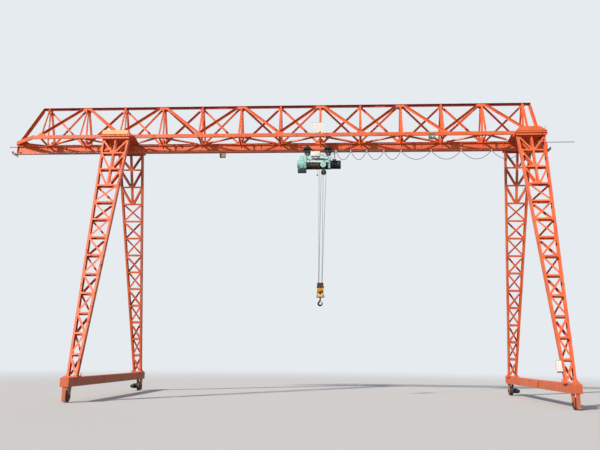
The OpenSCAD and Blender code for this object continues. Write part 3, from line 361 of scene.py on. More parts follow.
for material, names in FINISH.items():
    for name in names:
        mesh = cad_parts[name].data
        mesh.materials.clear()
        mesh.materials.append(material)
print("dressed", sum(len(names) for names in FINISH.values()), "of", len(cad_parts))

# %% [markdown]
# The small pieces share a few helpers. A shape is modelled at the origin with its own Z axis up, and is then
# stamped into the mesh on the bench wherever the crane has one. A piece takes that mesh and leaves an empty
# one. A lathe part is a spun profile, a plate an extruded outline, and a cable a ring drawn along its route.

# %% Shapes at the origin
HERE = Matrix.Identity(4)
SIDES = (-1, 1)
UP, DOWN, NEAR, FAR, LEFT, RIGHT = (0, 0, 1), (0, 0, -1), (0, -1, 0), (0, 1, 0), (-1, 0, 0), (1, 0, 0)


def facing(place, direction):
    """A matrix that stands a shape's own Z axis along a direction, at a place."""
    return at(place) @ Vector(direction).to_track_quat("Z", "Y").to_matrix().to_4x4()


def spun(angle):
    return Matrix.Rotation(angle, 4, "Z")


def circle(count, start=0.0):
    """The cosine and sine of angles that divide a full turn evenly."""
    return [(cos(a), sin(a)) for a in (start + 2 * pi * k / count for k in range(count))]


bench = [bmesh.new()]


def stamp(shape, places=HERE):
    """Copies a shape into what lies on the bench, once for each matrix, and frees the shape."""
    bm = bench[-1]
    master = bpy.data.meshes.new("master")
    shape.to_mesh(master)
    shape.free()
    for place in [places] if isinstance(places, Matrix) else places:
        count = len(bm.verts)
        bm.from_mesh(master)
        bm.verts.ensure_lookup_table()
        bmesh.ops.transform(bm, matrix=place, verts=bm.verts[count:])
    bpy.data.meshes.remove(master)


def bevelled(shape, offset, segments):
    bmesh.ops.bevel(shape, geom=shape.edges[:], offset=offset, segments=segments, profile=0.5, affect="EDGES",
                    material=-1)
    return shape


def block(start, end, bevel=0.003, segments=1, places=HERE):
    """A cuboid between two opposite corners, with broken edges."""
    shape = bmesh.new()
    start, end = Vector(start), Vector(end)
    size = Matrix.Diagonal((*map(abs, end - start), 1.0))
    bmesh.ops.create_cube(shape, size=1.0, matrix=at((start + end) / 2) @ size)
    stamp(bevelled(shape, bevel, segments), places)


def border(start, end, wide):
    """Four bars round an upright rectangle between two opposite corners, lowest X and Z first."""
    (x, y, z), (last_x, last_y, last_z) = start, end
    for low_x, low_z, high_x, high_z in ((x, z, last_x, z + wide), (x, last_z - wide, last_x, last_z),
                                         (x, z + wide, x + wide, last_z - wide),
                                         (last_x - wide, z + wide, last_x, last_z - wide)):
        block((low_x, y, low_z), (high_x, last_y, high_z), 0.002)


def lathe(profile, steps, places=HERE):
    """A part turned about Z, from pairs of height and radius. Unless they meet, both ends go to the axis."""
    if profile[0] != profile[-1]:
        profile = [(profile[0][0], 0), *profile, (profile[-1][0], 0)]
    shape = bmesh.new()
    points = [shape.verts.new((radius, 0, height)) for height, radius in profile]
    edges = [shape.edges.new(pair) for pair in zip(points, points[1:])]
    bmesh.ops.spin(shape, geom=points + edges, axis=(0, 0, 1), cent=(0, 0, 0), angle=2 * pi, steps=steps,
                   use_merge=True)
    bmesh.ops.remove_doubles(shape, verts=shape.verts, dist=1e-6)
    bmesh.ops.recalc_face_normals(shape, faces=shape.faces)
    stamp(shape, places)


def plate(outline, thickness):
    """A flat plate in the XY plane, extruded up from its outline."""
    shape = bmesh.new()
    face = shape.faces.new([shape.verts.new((x, y, 0)) for x, y in outline])
    grown = bmesh.ops.extrude_face_region(shape, geom=[face], use_keep_orig=True)["geom"]
    bmesh.ops.translate(shape, verts=[v for v in grown if isinstance(v, bmesh.types.BMVert)],
                        vec=(0, 0, thickness))
    bmesh.ops.recalc_face_normals(shape, faces=shape.faces)
    return shape


def bolts(spots, direction, d=0.016):
    """A washer, a hexagon head and the thread's end at each spot, with few faces, as there are hundreds."""
    shape = bmesh.new()
    for sides, wide, narrow, low, high in ((12, 1.0, 0.95, 0, 0.2), (6, 0.88, 0.78, 0.2, 0.9),
                                           (8, 0.5, 0.4, 0.9, 1.2)):
        bmesh.ops.create_cone(shape, cap_ends=True, segments=sides, radius1=wide * d, radius2=narrow * d,
                              depth=(high - low) * d, matrix=at((0, 0, (low + high) / 2 * d)))
    stamp(shape, [facing(spot, direction) for spot in spots])


def swept(path, radii, sides=10):
    """A round bar or cable. Its UV map "along" holds the turn about it and the metres along it."""
    path = [Vector(point) for point in path]
    last = len(path) - 1
    if not isinstance(radii, list):
        radii = [radii] * (last + 1)
    ahead = [(path[min(k + 1, last)] - path[max(k - 1, 0)]).normalized() for k in range(last + 1)]
    shape = bmesh.new()
    ring = bmesh.ops.create_circle(shape, segments=sides, radius=radii[0],
                                   matrix=facing(path[0], ahead[0]))["verts"]
    across = (ring[0].co - path[0]).normalized()
    spots, travelled = {}, 0.0
    edges = shape.edges[:]
    shape.faces.new(ring)
    for k, middle in enumerate(path):
        if k:
            turn = ahead[k - 1].rotation_difference(ahead[k])
            across = turn @ across
            travelled += (middle - path[k - 1]).length
            grown = bmesh.ops.extrude_edge_only(shape, edges=edges)["geom"]
            ring = [g for g in grown if isinstance(g, bmesh.types.BMVert)]
            edges = [g for g in grown if isinstance(g, bmesh.types.BMEdge)]
            for vert in ring:
                vert.co = middle + turn @ (vert.co - path[k - 1]) * (radii[k] / radii[k - 1])
        over = ahead[k].cross(across)
        for vert in ring:
            out = vert.co - middle
            spots[vert] = (atan2(out.dot(over), out.dot(across)) / (2 * pi) % 1.0, travelled)
    bmesh.ops.edgeloop_fill(shape, edges=[e for e in edges if len(e.link_faces) == 1])
    bmesh.ops.recalc_face_normals(shape, faces=shape.faces)
    along = shape.loops.layers.uv.new("along")
    for face in shape.faces:
        turns = [spots[loop.vert][0] for loop in face.loops]
        wraps = max(turns) - min(turns) > 0.5
        for loop, part in zip(face.loops, turns):
            loop[along].uv = (part + (1.0 if wraps and part < 0.5 else 0.0), spots[loop.vert][1])
    return shape


def tube(path, radii, sides=10):
    stamp(swept(path, radii, sides))


def piece(name, material, body="gantry"):
    """Makes the mesh on the bench a piece of the crane: smooth but for its sharp edges, finished, and riding
    on a body."""
    made = new_mesh(name, bench.pop())
    bench.append(bmesh.new())
    made.data.polygons.foreach_set("use_smooth", [True] * len(made.data.polygons))
    made.data.set_sharp_from_angle(angle=radians(35))
    made.data.materials.append(material)
    if body:
        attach(made, body)
    return made


print("helpers ready")

# %% [markdown]
# Places come from the frame's own boxes, so that each fitting sits on what carries it. The truss has equal
# bays, which the two ground beams give.

# %% Places along the girder
beam_low, beam_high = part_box("main_beam")
chord_low, chord_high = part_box("top_chord")
side_low, side_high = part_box("far_side_chord")
LEGS = [sum(corner.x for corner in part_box(name)) / 2 for name in ("left_ground_beam", "right_ground_beam")]
BAY = (LEGS[1] - LEGS[0]) / 10
LAST = 12
SIDE_OUT = side_high.y


def node_x(i):
    return LEGS[0] + (i - 2) * BAY


print("bay", round(BAY, 3), "m, first node at", round(node_x(0), 3))

# %% [markdown]
# Battens keep the two angles of the top chord together, and stiffeners stop the running beam's web from
# buckling. They stand on the upper web alone, as the trolley's wheels need the lower flange. The long members
# come in lengths that a lorry can carry, so each has a bolted splice.

# %% Battens, stiffeners and splices
for i in range(2 * LAST + 1):
    x = node_x(i / 2)
    block((x - 0.05, -0.09, chord_high.z), (x + 0.05, 0.09, chord_high.z + 0.008), 0.002)
# The battens take the top chord's darker orange, which is painted shade.
piece("top_chord_battens", SHADED_ORANGE)

WEB, CHORD_WEB, WEB_LOW = 0.006, 0.0143, 10.97
for i in range(2 * LAST):
    x = node_x(i / 2)
    for side in SIDES:
        block((x - 0.004, side * (WEB + 0.0003), WEB_LOW), (x + 0.004, side * 0.062, beam_high.z - 0.0165),
              0.001)
piece("beam_stiffeners", ORANGE)

SPLICES = [node_x(4.5), node_x(8.5)]
SPLICED = [(side_low.z + 0.025, side_high.z - 0.025, SIDE_OUT),
           (chord_low.z + 0.008, chord_high.z - 0.022, CHORD_WEB), (10.90, 11.06, WEB)]
for x, side, (low, high, face) in product(SPLICES, SIDES, SPLICED):
    outer = side * (face + 0.01)
    block((x - 0.24, side * face, low), (x + 0.24, outer, high), 0.002)
    bolts([(x + dx, outer, low + (high - low) * share) for dx in (-0.2, -0.12, -0.05, 0.05, 0.12, 0.2)
           for share in (0.25, 0.75)], (0, side, 0), 0.012)
piece("girder_splices", ORANGE)
print("splices at", [round(x, 2) for x in SPLICES])

# %% [markdown]
# Two bolts hold each end of a bracing bar. The bars of the leaning faces lie in a plane from the side chord's
# top to the top chord, so their bolts are set out flat in that plane and then turned into it.

# %% Bolts of the bracing
FOOT = Vector((0, -(SIDE_OUT - 0.0325), side_high.z))
HEAD = Vector((0, -0.0718, chord_high.z - 0.012))
FACE_L = (HEAD - FOOT).length
FACE_UP = (HEAD - FOOT) / FACE_L
FACE_OUT = Vector((0, -FACE_UP.z, FACE_UP.y))
BAR_T = 0.0075


def bar_ends(low_x, high_x, height, marks=(0.07, 0.14)):
    """Spots along a bar, two near each end, as pairs of X and height in the bar's plane."""
    start, run = Vector((low_x, 0)), Vector((high_x - low_x, height))
    return [tuple(start + run.normalized() * m) for m in (*marks, *(run.length - m for m in marks))]


slanted = list(product(range(1, LAST, 2), SIDES))
face_bars = [(node_x(i + d), node_x(i) + d * 0.05) for i, d in slanted]
face_bars += [(node_x(i), node_x(i)) for i in range(LAST + 1)]
centre_bars = [(node_x(i) + d * 0.06, node_x(i + d)) for i, d in slanted]
for mirror in (1, -1):
    turn = Vector((1, mirror, 1))
    bolts([(FOOT + Vector((x, 0, 0)) + FACE_UP * z + FACE_OUT * BAR_T) * turn for bar in face_bars
           for x, z in bar_ends(*bar, FACE_L)], FACE_OUT * turn, 0.012)
    face_y = -0.0125 if mirror > 0 else 0.005
    bolts([(x, face_y, beam_high.z + z) for bar in centre_bars
           for x, z in bar_ends(*bar, chord_low.z - beam_high.z)], (0, -mirror, 0), 0.012)
piece("bracing_bolts", ORANGE)
print("bracing bolts on", len(face_bars) * 2 + len(centre_bars), "bars")

# %% [markdown]
# A saddle beam is a box welded from plate. Its flanges stand a little proud of its webs, ribs stiffen its end
# plate, and bolts through the leg's head plate hold it down. Its raised brackets carry two lifting eyes each.

# %% Saddle beams
def eye(spots, height=0.07, radius=0.03, bar=0.010):
    """A lifting eye at each spot: a ring on a short collar."""
    bench.append(bmesh.new())
    ring = [(bar * s, radius + bar * c) for c, s in circle(8)]
    lathe(ring + ring[:1], 20, facing((0, 0, height), NEAR))
    lathe([(0, 0.026), (0.012, 0.026), (0.018, 0.014), (height - radius, 0.012)], 16)
    stamp(bench.pop(), [facing(spot, UP) for spot in spots])


SEAT = beam_high.z + 0.04
for (x, name), side in product(zip(LEGS, ("left_saddle_beam", "right_saddle_beam")), SIDES):
    low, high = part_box(name)
    inner, outer = side * (high.y + 0.0003), side * (high.y + 0.016)
    for z in (SEAT, side_low.z - 0.012):
        block((low.x, inner, z), (high.x, outer, z + 0.012), 0.002)
    for k in range(7):
        rib = low.x + 0.02 + (high.x - low.x - 0.04) * k / 6
        block((rib - 0.005, inner, SEAT + 0.0125), (rib + 0.005, outer, side_low.z - 0.0125), 0.001)
    eye([(x + dx, side * (high.y - 0.25), high.z) for dx in (-0.25, 0.15)])
    for y, row in ((high.y - 0.035, (-0.5, -0.25, 0, 0.25, 0.5)), (0.905, (-0.5, -0.35, 0.35, 0.5))):
        bolts([(x + dx, side * y, beam_high.z - 0.02) for dx in row], DOWN, 0.02)
piece("saddle_trim", ORANGE)
print("saddle beams trimmed")

# %% [markdown]
# A leg's foot plate is bolted to the ground beam, with a small rib beside each post. The ground beams have
# lifting eyes and a sweeper in front of each wheel, which pushes stones off the rail.

# %% Feet and ground beams
FOOT_Y, WHEEL_Y, AXLE_Z = 4.035, 4.45, 0.22
SWEEPER_GAP = 0.045
ground_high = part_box("left_ground_beam")[1]
FOOT_PLATE = ground_high.z + 0.03
for x, side in product(LEGS, SIDES):
    foot = side * FOOT_Y
    bolts([(x + dx, foot + dy, FOOT_PLATE) for dx in (-0.235, 0, 0.235) for dy in (-0.175, 0.175)], UP, 0.024)
    block((x - 0.07, side * (WHEEL_Y + 0.250), SWEEPER_GAP),
          (x + 0.07, side * (WHEEL_Y + 0.262), ground_high.z - 0.3295), 0.002)
    eye([(x, side * 3.2, ground_high.z)], 0.08, 0.035, 0.012)
    for end, angle in ((-1, pi), (1, 0)):
        turn = spun(angle) @ Matrix.Rotation(pi / 2, 4, "X")
        stamp(plate([(0, 0), (0.065, 0), (0.012, 0.16), (0, 0.16)], 0.010),
              at((x + end * 0.201, foot + end * 0.005, FOOT_PLATE)) @ turn)
piece("ground_beam_trim", ORANGE)

for x, side, end in product(LEGS, SIDES, SIDES):
    hub = Vector((x + end * 0.0955, side * WHEEL_Y, AXLE_Z))
    lathe([(0, 0.075), (0.012, 0.075), (0.016, 0.071), (0.030, 0.058), (0.034, 0.050)], 28,
          facing(hub, (end, 0, 0)))
    bolts([hub + Vector((end * 0.012, 0.066 * c, 0.066 * s)) for c, s in circle(4, pi / 4)], (end, 0, 0),
          0.008)
piece("wheel_bearing_caps", CAST)
print("ground beams trimmed, sweepers", round(SWEEPER_GAP * 1000), "mm over the rail's top")

# %% [markdown]
# A crane's motors are all of one kind: a cast body with cooling fins, a fan cowl with a slotted end and a
# terminal box. One function makes it to any size, with its flange at Z = 0.

# %% Electric motors
def motor(radius, length, place, box_turn=0.0):
    bench.append(bmesh.new())
    body, cowl, fins = length * 0.10, length * 0.74, 30
    lathe([(0, radius), (body * 0.6, radius), (body, radius * 0.9), (body, radius * 0.84),
           (cowl, radius * 0.84)], 40)
    block((radius * 0.8, -radius * 0.022, body), (radius * 0.985, radius * 0.022, cowl), radius * 0.008,
          places=[spun(2 * pi * k / fins) for k in range(fins)])
    edge = radius * 0.12
    deep = length - edge * 0.3
    end = [(cowl - length * 0.03, radius * 0.95), (cowl, radius), (length - edge, radius * 0.98),
           (deep, radius * 0.93), (length, radius * 0.84)]
    for slot in (0.70, 0.44):
        end += [(length, radius * slot), (deep, radius * (slot - 0.02)), (deep, radius * (slot - 0.12)),
                (length, radius * (slot - 0.14))]
    lathe(end, 40)
    for low, high, wide, start, stop, bevel in ((0.8, 1.2, 0.36, 0.22, 0.56, 0.03),
                                                (1.2, 1.26, 0.39, 0.20, 0.58, 0.02)):
        block((radius * low, -radius * wide, length * start), (radius * high, radius * wide, length * stop),
              radius * bevel, places=spun(box_turn))
    lugs = [(radius * 0.93 * c, radius * 0.93 * s, body * 0.8) for c, s in circle(4, pi / 4)]
    bolts(lugs, UP, radius * 0.06)
    stamp(bench.pop(), place)


GEAR_R, GEAR_W, DRIVE_R, DRIVE_L = 0.124, 0.148, 0.086, 0.44
for x, end in zip(LEGS, (-1, 1)):
    start = Vector((x + end * 0.1373, WHEEL_Y, AXLE_Z))
    lathe([(0, GEAR_R), (0.03, GEAR_R), (0.034, GEAR_R - 0.008), (GEAR_W - 0.034, GEAR_R - 0.008),
           (GEAR_W - 0.03, GEAR_R), (GEAR_W - 0.006, GEAR_R), (GEAR_W, GEAR_R - 0.006), (GEAR_W, 0.05),
           (GEAR_W - 0.008, 0.045)], 40, facing(start, (end, 0, 0)))
    bolts([start + Vector((end * GEAR_W, 0.104 * c, 0.104 * s)) for c, s in circle(8)], (end, 0, 0), 0.009)
    seat = start + Vector((end * GEAR_W * 0.57, -0.04, 0))
    motor(DRIVE_R, DRIVE_L, facing(seat, NEAR) @ spun(-pi / 2))
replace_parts(piece("travel_gearmotors", NAVY), "travel_drives")
print("travel motors", 2)

# %% [markdown]
# The frame has each floodlight's sheet box. It lacks the bright reflector, the pane in its rim and the
# stirrup that it tilts on.

# %% Floodlights
LAMP_H = 0.234
LAMPS = [((node_x(LAST - 2) - BAY * 0.3, -SIDE_OUT - 0.0003, side_high.z - 0.115), -1),
         ((node_x(4) + BAY * 0.46, SIDE_OUT + 0.0003, side_low.z - 0.24), 1),
         ((LEGS[1] + 0.39, SIDE_OUT - 0.03, beam_high.z - 0.13), 1)]
for (x, y, z), side in LAMPS:
    turn = facing((x, y + side * 0.073, z - LAMP_H / 2), (0, side, 0))
    lathe([(0, 0.03), (0.02, 0.075), (0.052, 0.098), (0.055, 0.098), (0.022, 0.070), (0.004, 0.026)], 32,
          turn)
    lathe([(0.004, 0.012), (0.040, 0.012), (0.048, 0.006)], 16, turn)
piece("floodlight_reflectors", REFLECTOR)
for (x, y, z), side in LAMPS:
    block((x - 0.115, y + side * 0.135, z - LAMP_H + 0.014), (x + 0.115, y + side * 0.140, z - 0.014), 0.001)
piece("floodlight_panes", PANE)
for (x, y, z), side in LAMPS:
    border((x - 0.13, y + side * 0.142, z - LAMP_H), (x + 0.13, y + side * 0.150, z), 0.016)
    low_y, high_y = y + side * 0.04, y + side * 0.07
    for end in SIDES:
        block((x + end * 0.1305, low_y, z - LAMP_H / 2 - 0.03), (x + end * 0.1365, high_y, z + 0.02), 0.001)
        bolts([(x + end * 0.1365, y + side * 0.055, z - LAMP_H / 2)], (end, 0, 0), 0.010)
    block((x - 0.1365, low_y, z + 0.014), (x + 0.1365, high_y, z + 0.020), 0.001)
piece("floodlight_trims", LAMP_GREY)
print("floodlights", len(LAMPS))

# %% [markdown]
# The switch box on the near right leg gets its door, hinges, knob and glands, and its conduit runs up inside
# the leg's channel. The leg leans, so the pieces are set out upright and then turned into its plane. The box
# beside the right bracket gets a door and a gland.

# %% Switch boxes and conduit
HEAD_Y = 1.085
RISE, RUN = beam_high.z - 0.115 - ground_high.z - 0.02, FOOT_Y - HEAD_Y
LEG_L = hypot(RISE, RUN)
LEG_PLANE = (at((LEGS[1], -FOOT_Y, ground_high.z + 0.02)) @ Matrix.Rotation(atan2(RISE, RUN), 4, "X"))
BOX_RIGHT = -0.2293
BOX_LEFT = BOX_RIGHT - 0.18
HINGE = (BOX_RIGHT - 0.016, BOX_RIGHT - 0.004)
GLAND = [(0, 0.017), (0.012, 0.017), (0.014, 0.013), (0.030, 0.011), (0.034, 0.007)]
block((BOX_LEFT + 0.008, 0.388, 0.0803), (BOX_RIGHT - 0.008, 0.772, 0.086), places=LEG_PLANE)
block((BOX_LEFT - 0.004, 0.776, -0.084), (BOX_RIGHT, 0.786, 0.092), places=LEG_PLANE)
for y in (0.44, 0.68):
    block((HINGE[0], y, 0.083), (HINGE[1], y + 0.05, 0.095), places=LEG_PLANE)
lathe([(0, 0.014), (0.010, 0.014), (0.014, 0.009), (0.026, 0.009), (0.028, 0.006)], 20,
      LEG_PLANE @ at((BOX_LEFT + 0.03, 0.58, 0.086)))
lathe(GLAND, 12, [LEG_PLANE @ facing((BOX_LEFT + dx, 0.380, 0), NEAR) for dx in (0.05, 0.09, 0.13)])
piece("switch_box_fittings", WHITE)

x, y, z = node_x(LAST) + 0.7503, -SIDE_OUT + 0.002, side_low.z + 0.01
block((x + 0.006, y - 0.006, z + 0.008), (x + 0.064, y, z + 0.157), 0.002)
lathe(GLAND, 12, facing((x + 0.035, y + 0.03, z), DOWN))
piece("end_box_door", DARK)


def post_x(y):
    """The inner side of the post's web, up the leg."""
    return -(0.2 + 0.39 * y / LEG_L) + 0.025


CONDUIT_R = 0.0125
tube([LEG_PLANE @ Vector((post_x(y), y, 0)) for y in (0.66, 3.0, 6.0, 9.0, LEG_L - 0.05)], CONDUIT_R)
for y in range(1, 10):
    block((post_x(y) - 0.018, y, -0.018), (post_x(y) + 0.016, y + 0.03, 0.018), 0.002, places=LEG_PLANE)
tube([(x, SIDE_OUT - 0.05, side_low.z + 0.03) for x in (node_x(0), node_x(4), node_x(8), node_x(LAST) + 0.6)],
     CONDUIT_R)
piece("cable_conduits", ZINC)
print("conduit up the leg", round(LEG_L, 2), "m")

# %% [markdown]
# The plate on the near chord is folded sheet with a turned rim, held by bolts, and a second board is bolted
# to the left bracket. Both are blank. The thin rod past the right end lies on the beam under two clamps.

# %% Plates, clamps and end plates
SIGN_W, SIGN_H = 0.51, 0.44
sign_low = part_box("sign_plate")[0]
PLATE_Z = side_high.z + 0.045
border((sign_low.x, sign_low.y - 0.008, PLATE_Z), (sign_low.x + SIGN_W, sign_low.y, PLATE_Z + SIGN_H), 0.012)
piece("sign_plate_rim", WHITE)

bracket_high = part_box("left_saddle_beam")[1]
BOARD_X, BOARD_Y = (LEGS[0] - 0.56, LEGS[0] + 0.56), -bracket_high.y
BOARD_Z = (side_low.z + 0.004, bracket_high.z - 0.005)
block((BOARD_X[0], BOARD_Y - 0.006, BOARD_Z[0]), (BOARD_X[1], BOARD_Y - 0.0003, BOARD_Z[1]), 0.001)
bolts([(x, BOARD_Y - 0.006, z) for x in (BOARD_X[0] + 0.03, BOARD_X[1] - 0.03)
       for z in (BOARD_Z[0] + 0.03, BOARD_Z[1] - 0.03)], NEAR, 0.008)
piece("bracket_board", BUFF)
print("blank board", round(BOARD_X[1] - BOARD_X[0], 3), "by", round(BOARD_Z[1] - BOARD_Z[0], 3), "m")

WIRE_Y, WIRE_Z = -0.55, beam_low.z - 0.11
wire_low, wire_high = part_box("festoon_wire")
for rows, d in (((side_high.z - 0.045, side_high.z - 0.015), 0.010),
                ((PLATE_Z + 0.09, PLATE_Z + 0.35), 0.008)):
    bolts([(x, sign_low.y, z) for x in (MID - SIGN_W * 0.55 + 0.02, MID + SIGN_W * 0.1 + 0.02) for z in rows],
          NEAR, d)
for x in (beam_high.x - 0.09, beam_high.x - 0.03):
    block((x - 0.012, -0.042, beam_high.z), (x + 0.012, 0.042, beam_high.z + 0.005), 0.001)
    bow = [(x, 0.018 * c, beam_high.z + 0.013 + 0.018 * s) for c, s in circle(16)[:9]]
    tube([(x, 0.018, beam_high.z + 0.004), *bow, (x, -0.018, beam_high.z + 0.004)], 0.004, 8)
    bolts([(x, y, beam_high.z + 0.005) for y in (-0.032, 0.032)], UP, 0.007)
for x, end in ((wire_low.x + 0.01, 1), (wire_high.x - 0.01, -1)):
    lathe([(0, 0.016), (0.01, 0.016), (0.014, 0.011), (0.03, 0.011), (0.10, 0.015), (0.19, 0.011),
           (0.21, 0.008)], 16, facing((x, WIRE_Y, WIRE_Z), (end, 0, 0)))
    bolts([(x, y, beam_low.z - 0.03) for y in (-0.045, 0.045)], (end, 0, 0), 0.010)
piece("clamps_and_bolts", BOLT)

left, right = beam_low.x, beam_high.x
block((left + 0.02, -0.085, beam_high.z), (left + 0.10, 0.085, beam_high.z + 0.012), 0.002)
bolts([(left + 0.06, y, beam_high.z + 0.012) for y in (-0.076, 0.076)], UP, 0.014)
bolts([(x, y, beam_low.z + 0.016) for x in (left + 0.105, right - 0.105) for y in (-0.05, 0.05)], UP, 0.012)
for end, x in ((1, left + 0.15), (-1, right - 0.15)):
    lathe([(0, 0.026), (0.008, 0.026), (0.012, 0.022), (0.045, 0.024), (0.055, 0.018), (0.058, 0)], 24,
          [facing((x, y, beam_low.z + 0.085), (end, 0, 0)) for y in (-0.04, 0.04)])
piece("beam_end_fittings", BUFFER)
print("plate stays blank")

# %% [markdown]
# The hoist hangs from two trolleys. Its rope drum is a shell between two flanges, wound with rope from the
# left and bare where the rope has run off, so that its grooves show. Each is one lathe profile, and the
# rope's is a row of arcs.

# %% Rope drum
HOOK = sum(corner.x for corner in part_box("block_frame")) / 2
drum_low, drum_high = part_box("rope_drum")
DRUM_Z = (drum_low.z + drum_high.z) / 2
DRUM_L = drum_high.x - drum_low.x
DRUM_R, FLANGE_R, FLANGE_T, ROPE_R = 0.147, 0.170, 0.016, 0.008
PITCH = 2.2 * ROPE_R
WOUND_L = HOOK - 0.062 - drum_low.x - FLANGE_T
TURNS = int(WOUND_L / PITCH)
AXLE = facing((drum_low.x, 0, DRUM_Z), RIGHT)
flange = [(0, FLANGE_R - 0.003), (0.003, FLANGE_R), (FLANGE_T - 0.003, FLANGE_R),
          (FLANGE_T, FLANGE_R - 0.003), (FLANGE_T, DRUM_R)]
grooves = [(FLANGE_T + WOUND_L + (k + part) * PITCH, DRUM_R - (0.003 if part == 0.5 else 0))
           for k in range(int((DRUM_L - WOUND_L - 0.04) / PITCH)) for part in (0, 0.25, 0.5, 0.75)]
lathe(flange + grooves + [(DRUM_L - x, r) for x, r in reversed(flange)], 48, AXLE)
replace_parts(piece("drum_shell", DRUM, "hoist"), "rope_drum")

ends = FLANGE_T + 0.0005, FLANGE_T + 0.001
coils = [(ends[0], DRUM_R)]
for k in range(TURNS):
    for a in map(radians, (150, 115, 90, 65, 30)):
        coils.append((ends[1] + (k + 0.5) * PITCH + ROPE_R * cos(a), DRUM_R + ROPE_R * (1 + sin(a)) - 0.001))
lathe(coils + [(ends[1] + TURNS * PITCH, DRUM_R), coils[0]], 48, AXLE)
piece("drum_rope", WOUND, "hoist")
print("turns of rope on the drum:", TURNS)

# %% [markdown]
# The gearbox is cast in two halves, with a bolted flange around the parting line. The round cover on its end
# hides the brake. It also has a lifting eye, a breather, a sight glass and a drain plug.

# %% Gearbox
CASE_LEFT = drum_low.x - 0.3003
CASE = [(-0.15, -0.14), (0.15, -0.14), (0.205, 0), (0.195, 0.15), (0.11, 0.33), (0.075, 0.45), (-0.075, 0.45),
        (-0.11, 0.33), (-0.195, 0.15), (-0.205, 0)]
CASE_MID = Vector((0, 0.12))
onto_case = Matrix(((0, 0, -1, CASE_LEFT + 0.16), (-1, 0, 0, 0), (0, 1, 0, DRUM_Z), (0, 0, 0, 1)))
rim = plate([CASE_MID + (Vector(p) - CASE_MID) * 1.07 for p in CASE], 0.028)
stamp(bevelled(rim, 0.004, 2), onto_case)
rim_spots = []
for start, end in zip(CASE, CASE[1:] + CASE[:1]):
    for share in (0.25, 0.75):
        spot = CASE_MID + (Vector(start).lerp(Vector(end), share) - CASE_MID) * 1.035
        rim_spots.append((CASE_LEFT + 0.131, -spot.x, DRUM_Z + spot.y))
bolts(rim_spots, LEFT, 0.010)
cover = Vector((CASE_LEFT - 0.0987, 0, DRUM_Z + 0.09))
lathe([(0, 0.182), (0.006, 0.182), (0.010, 0.176), (0.010, 0.11), (0.022, 0.10), (0.030, 0.06)], 48,
      facing(cover, LEFT))
bolts([cover + Vector((-0.010, 0.148 * c, 0.148 * s)) for c, s in circle(8, 0.3)], LEFT, 0.010)
for side, k in product(SIDES, range(4)):
    x = CASE_LEFT + 0.20 + k * 0.026
    block((x, side * 0.19, DRUM_Z - 0.02), (x + 0.008, side * 0.212, DRUM_Z + 0.14), 0.002)
eye([(CASE_LEFT + 0.22, 0, DRUM_Z + 0.449)], 0.06, 0.026, 0.009)
lathe([(0, 0.016), (0.02, 0.016), (0.024, 0.024), (0.044, 0.024), (0.050, 0.016)], 20,
      facing((CASE_LEFT + 0.07, 0.04, DRUM_Z + 0.449), UP))
piece("gearbox_cover", AQUA, "hoist")

ROD_END = drum_high.x + 0.0823
lathe([(0, 0.022), (0.006, 0.022), (0.010, 0.018), (0.010, 0.014), (0.006, 0.012)], 24,
      [facing((CASE_LEFT + x, y, DRUM_Z + z), NEAR)
       for x, y, z in ((0.07, -0.198, 0.05), (0.06, -0.16, -0.07))])
bolts([(ROD_END, y, DRUM_Z + z) for y, z in ((-0.135, 0.131), (0.135, 0.131), (0.145, -0.120))], RIGHT, 0.022)
piece("gearbox_glass_and_nuts", BOLT, "hoist")
print("gearbox bolts", len(rim_spots) + 8)

# %% [markdown]
# The hoist motor and the two trolley motors come from the motor function. Each trolley motor sits on a flat
# gear case that drives both wheels of its trolley.

# %% Motors of the hoist
motor_low, motor_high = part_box("hoist_motor")
MOTOR_Z = DRUM_Z + 0.045
motor((motor_high.z - motor_low.z) / 2, motor_high.x - motor_low.x,
      facing((motor_low.x, 0, MOTOR_Z), RIGHT) @ spun(-pi / 2), pi)
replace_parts(piece("hoist_motor_body", NAVY, "hoist"), "hoist_motor")
lathe([(0, 0.166), (0, 0.197), (0.004, 0.199), (0.026, 0.199), (0.030, 0.197), (0.030, 0.166), (0, 0.166)],
      48, facing((motor_low.x + 0.33, 0, MOTOR_Z), RIGHT))
piece("hoist_motor_band", TEAL, "hoist")

TROLLEYS = [HOOK - 0.602, HOOK + 0.330]
gears_low, gears_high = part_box("trolley_motors")
GEAR_BACK, GEAR_FRONT = gears_high.y, gears_high.y - 0.06
TROLLEY_Z = gears_low.z + 0.085
for x in TROLLEYS:
    block((x - 0.12, GEAR_FRONT, TROLLEY_Z - 0.075), (x + 0.12, GEAR_BACK, TROLLEY_Z + 0.095), 0.012, 3)
    bolts([(x + dx, GEAR_FRONT, TROLLEY_Z + dz) for dx in (-0.105, 0.105) for dz in (-0.06, 0.08)], NEAR,
          0.010)
    motor(0.085, GEAR_FRONT - gears_low.y, facing((x, GEAR_FRONT, TROLLEY_Z), NEAR) @ spun(pi / 2), pi / 2)
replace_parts(piece("trolley_gearmotors", MOTOR_GREEN, "hoist"), "trolley_motors")
print("motors:", 1 + len(TROLLEYS))

# %% [markdown]
# The trolleys' side plates carry the wheel axles and the pin that the hoist hangs from. Their outer faces
# show nuts, pin collars with split pins, and a rubber buffer at each end.

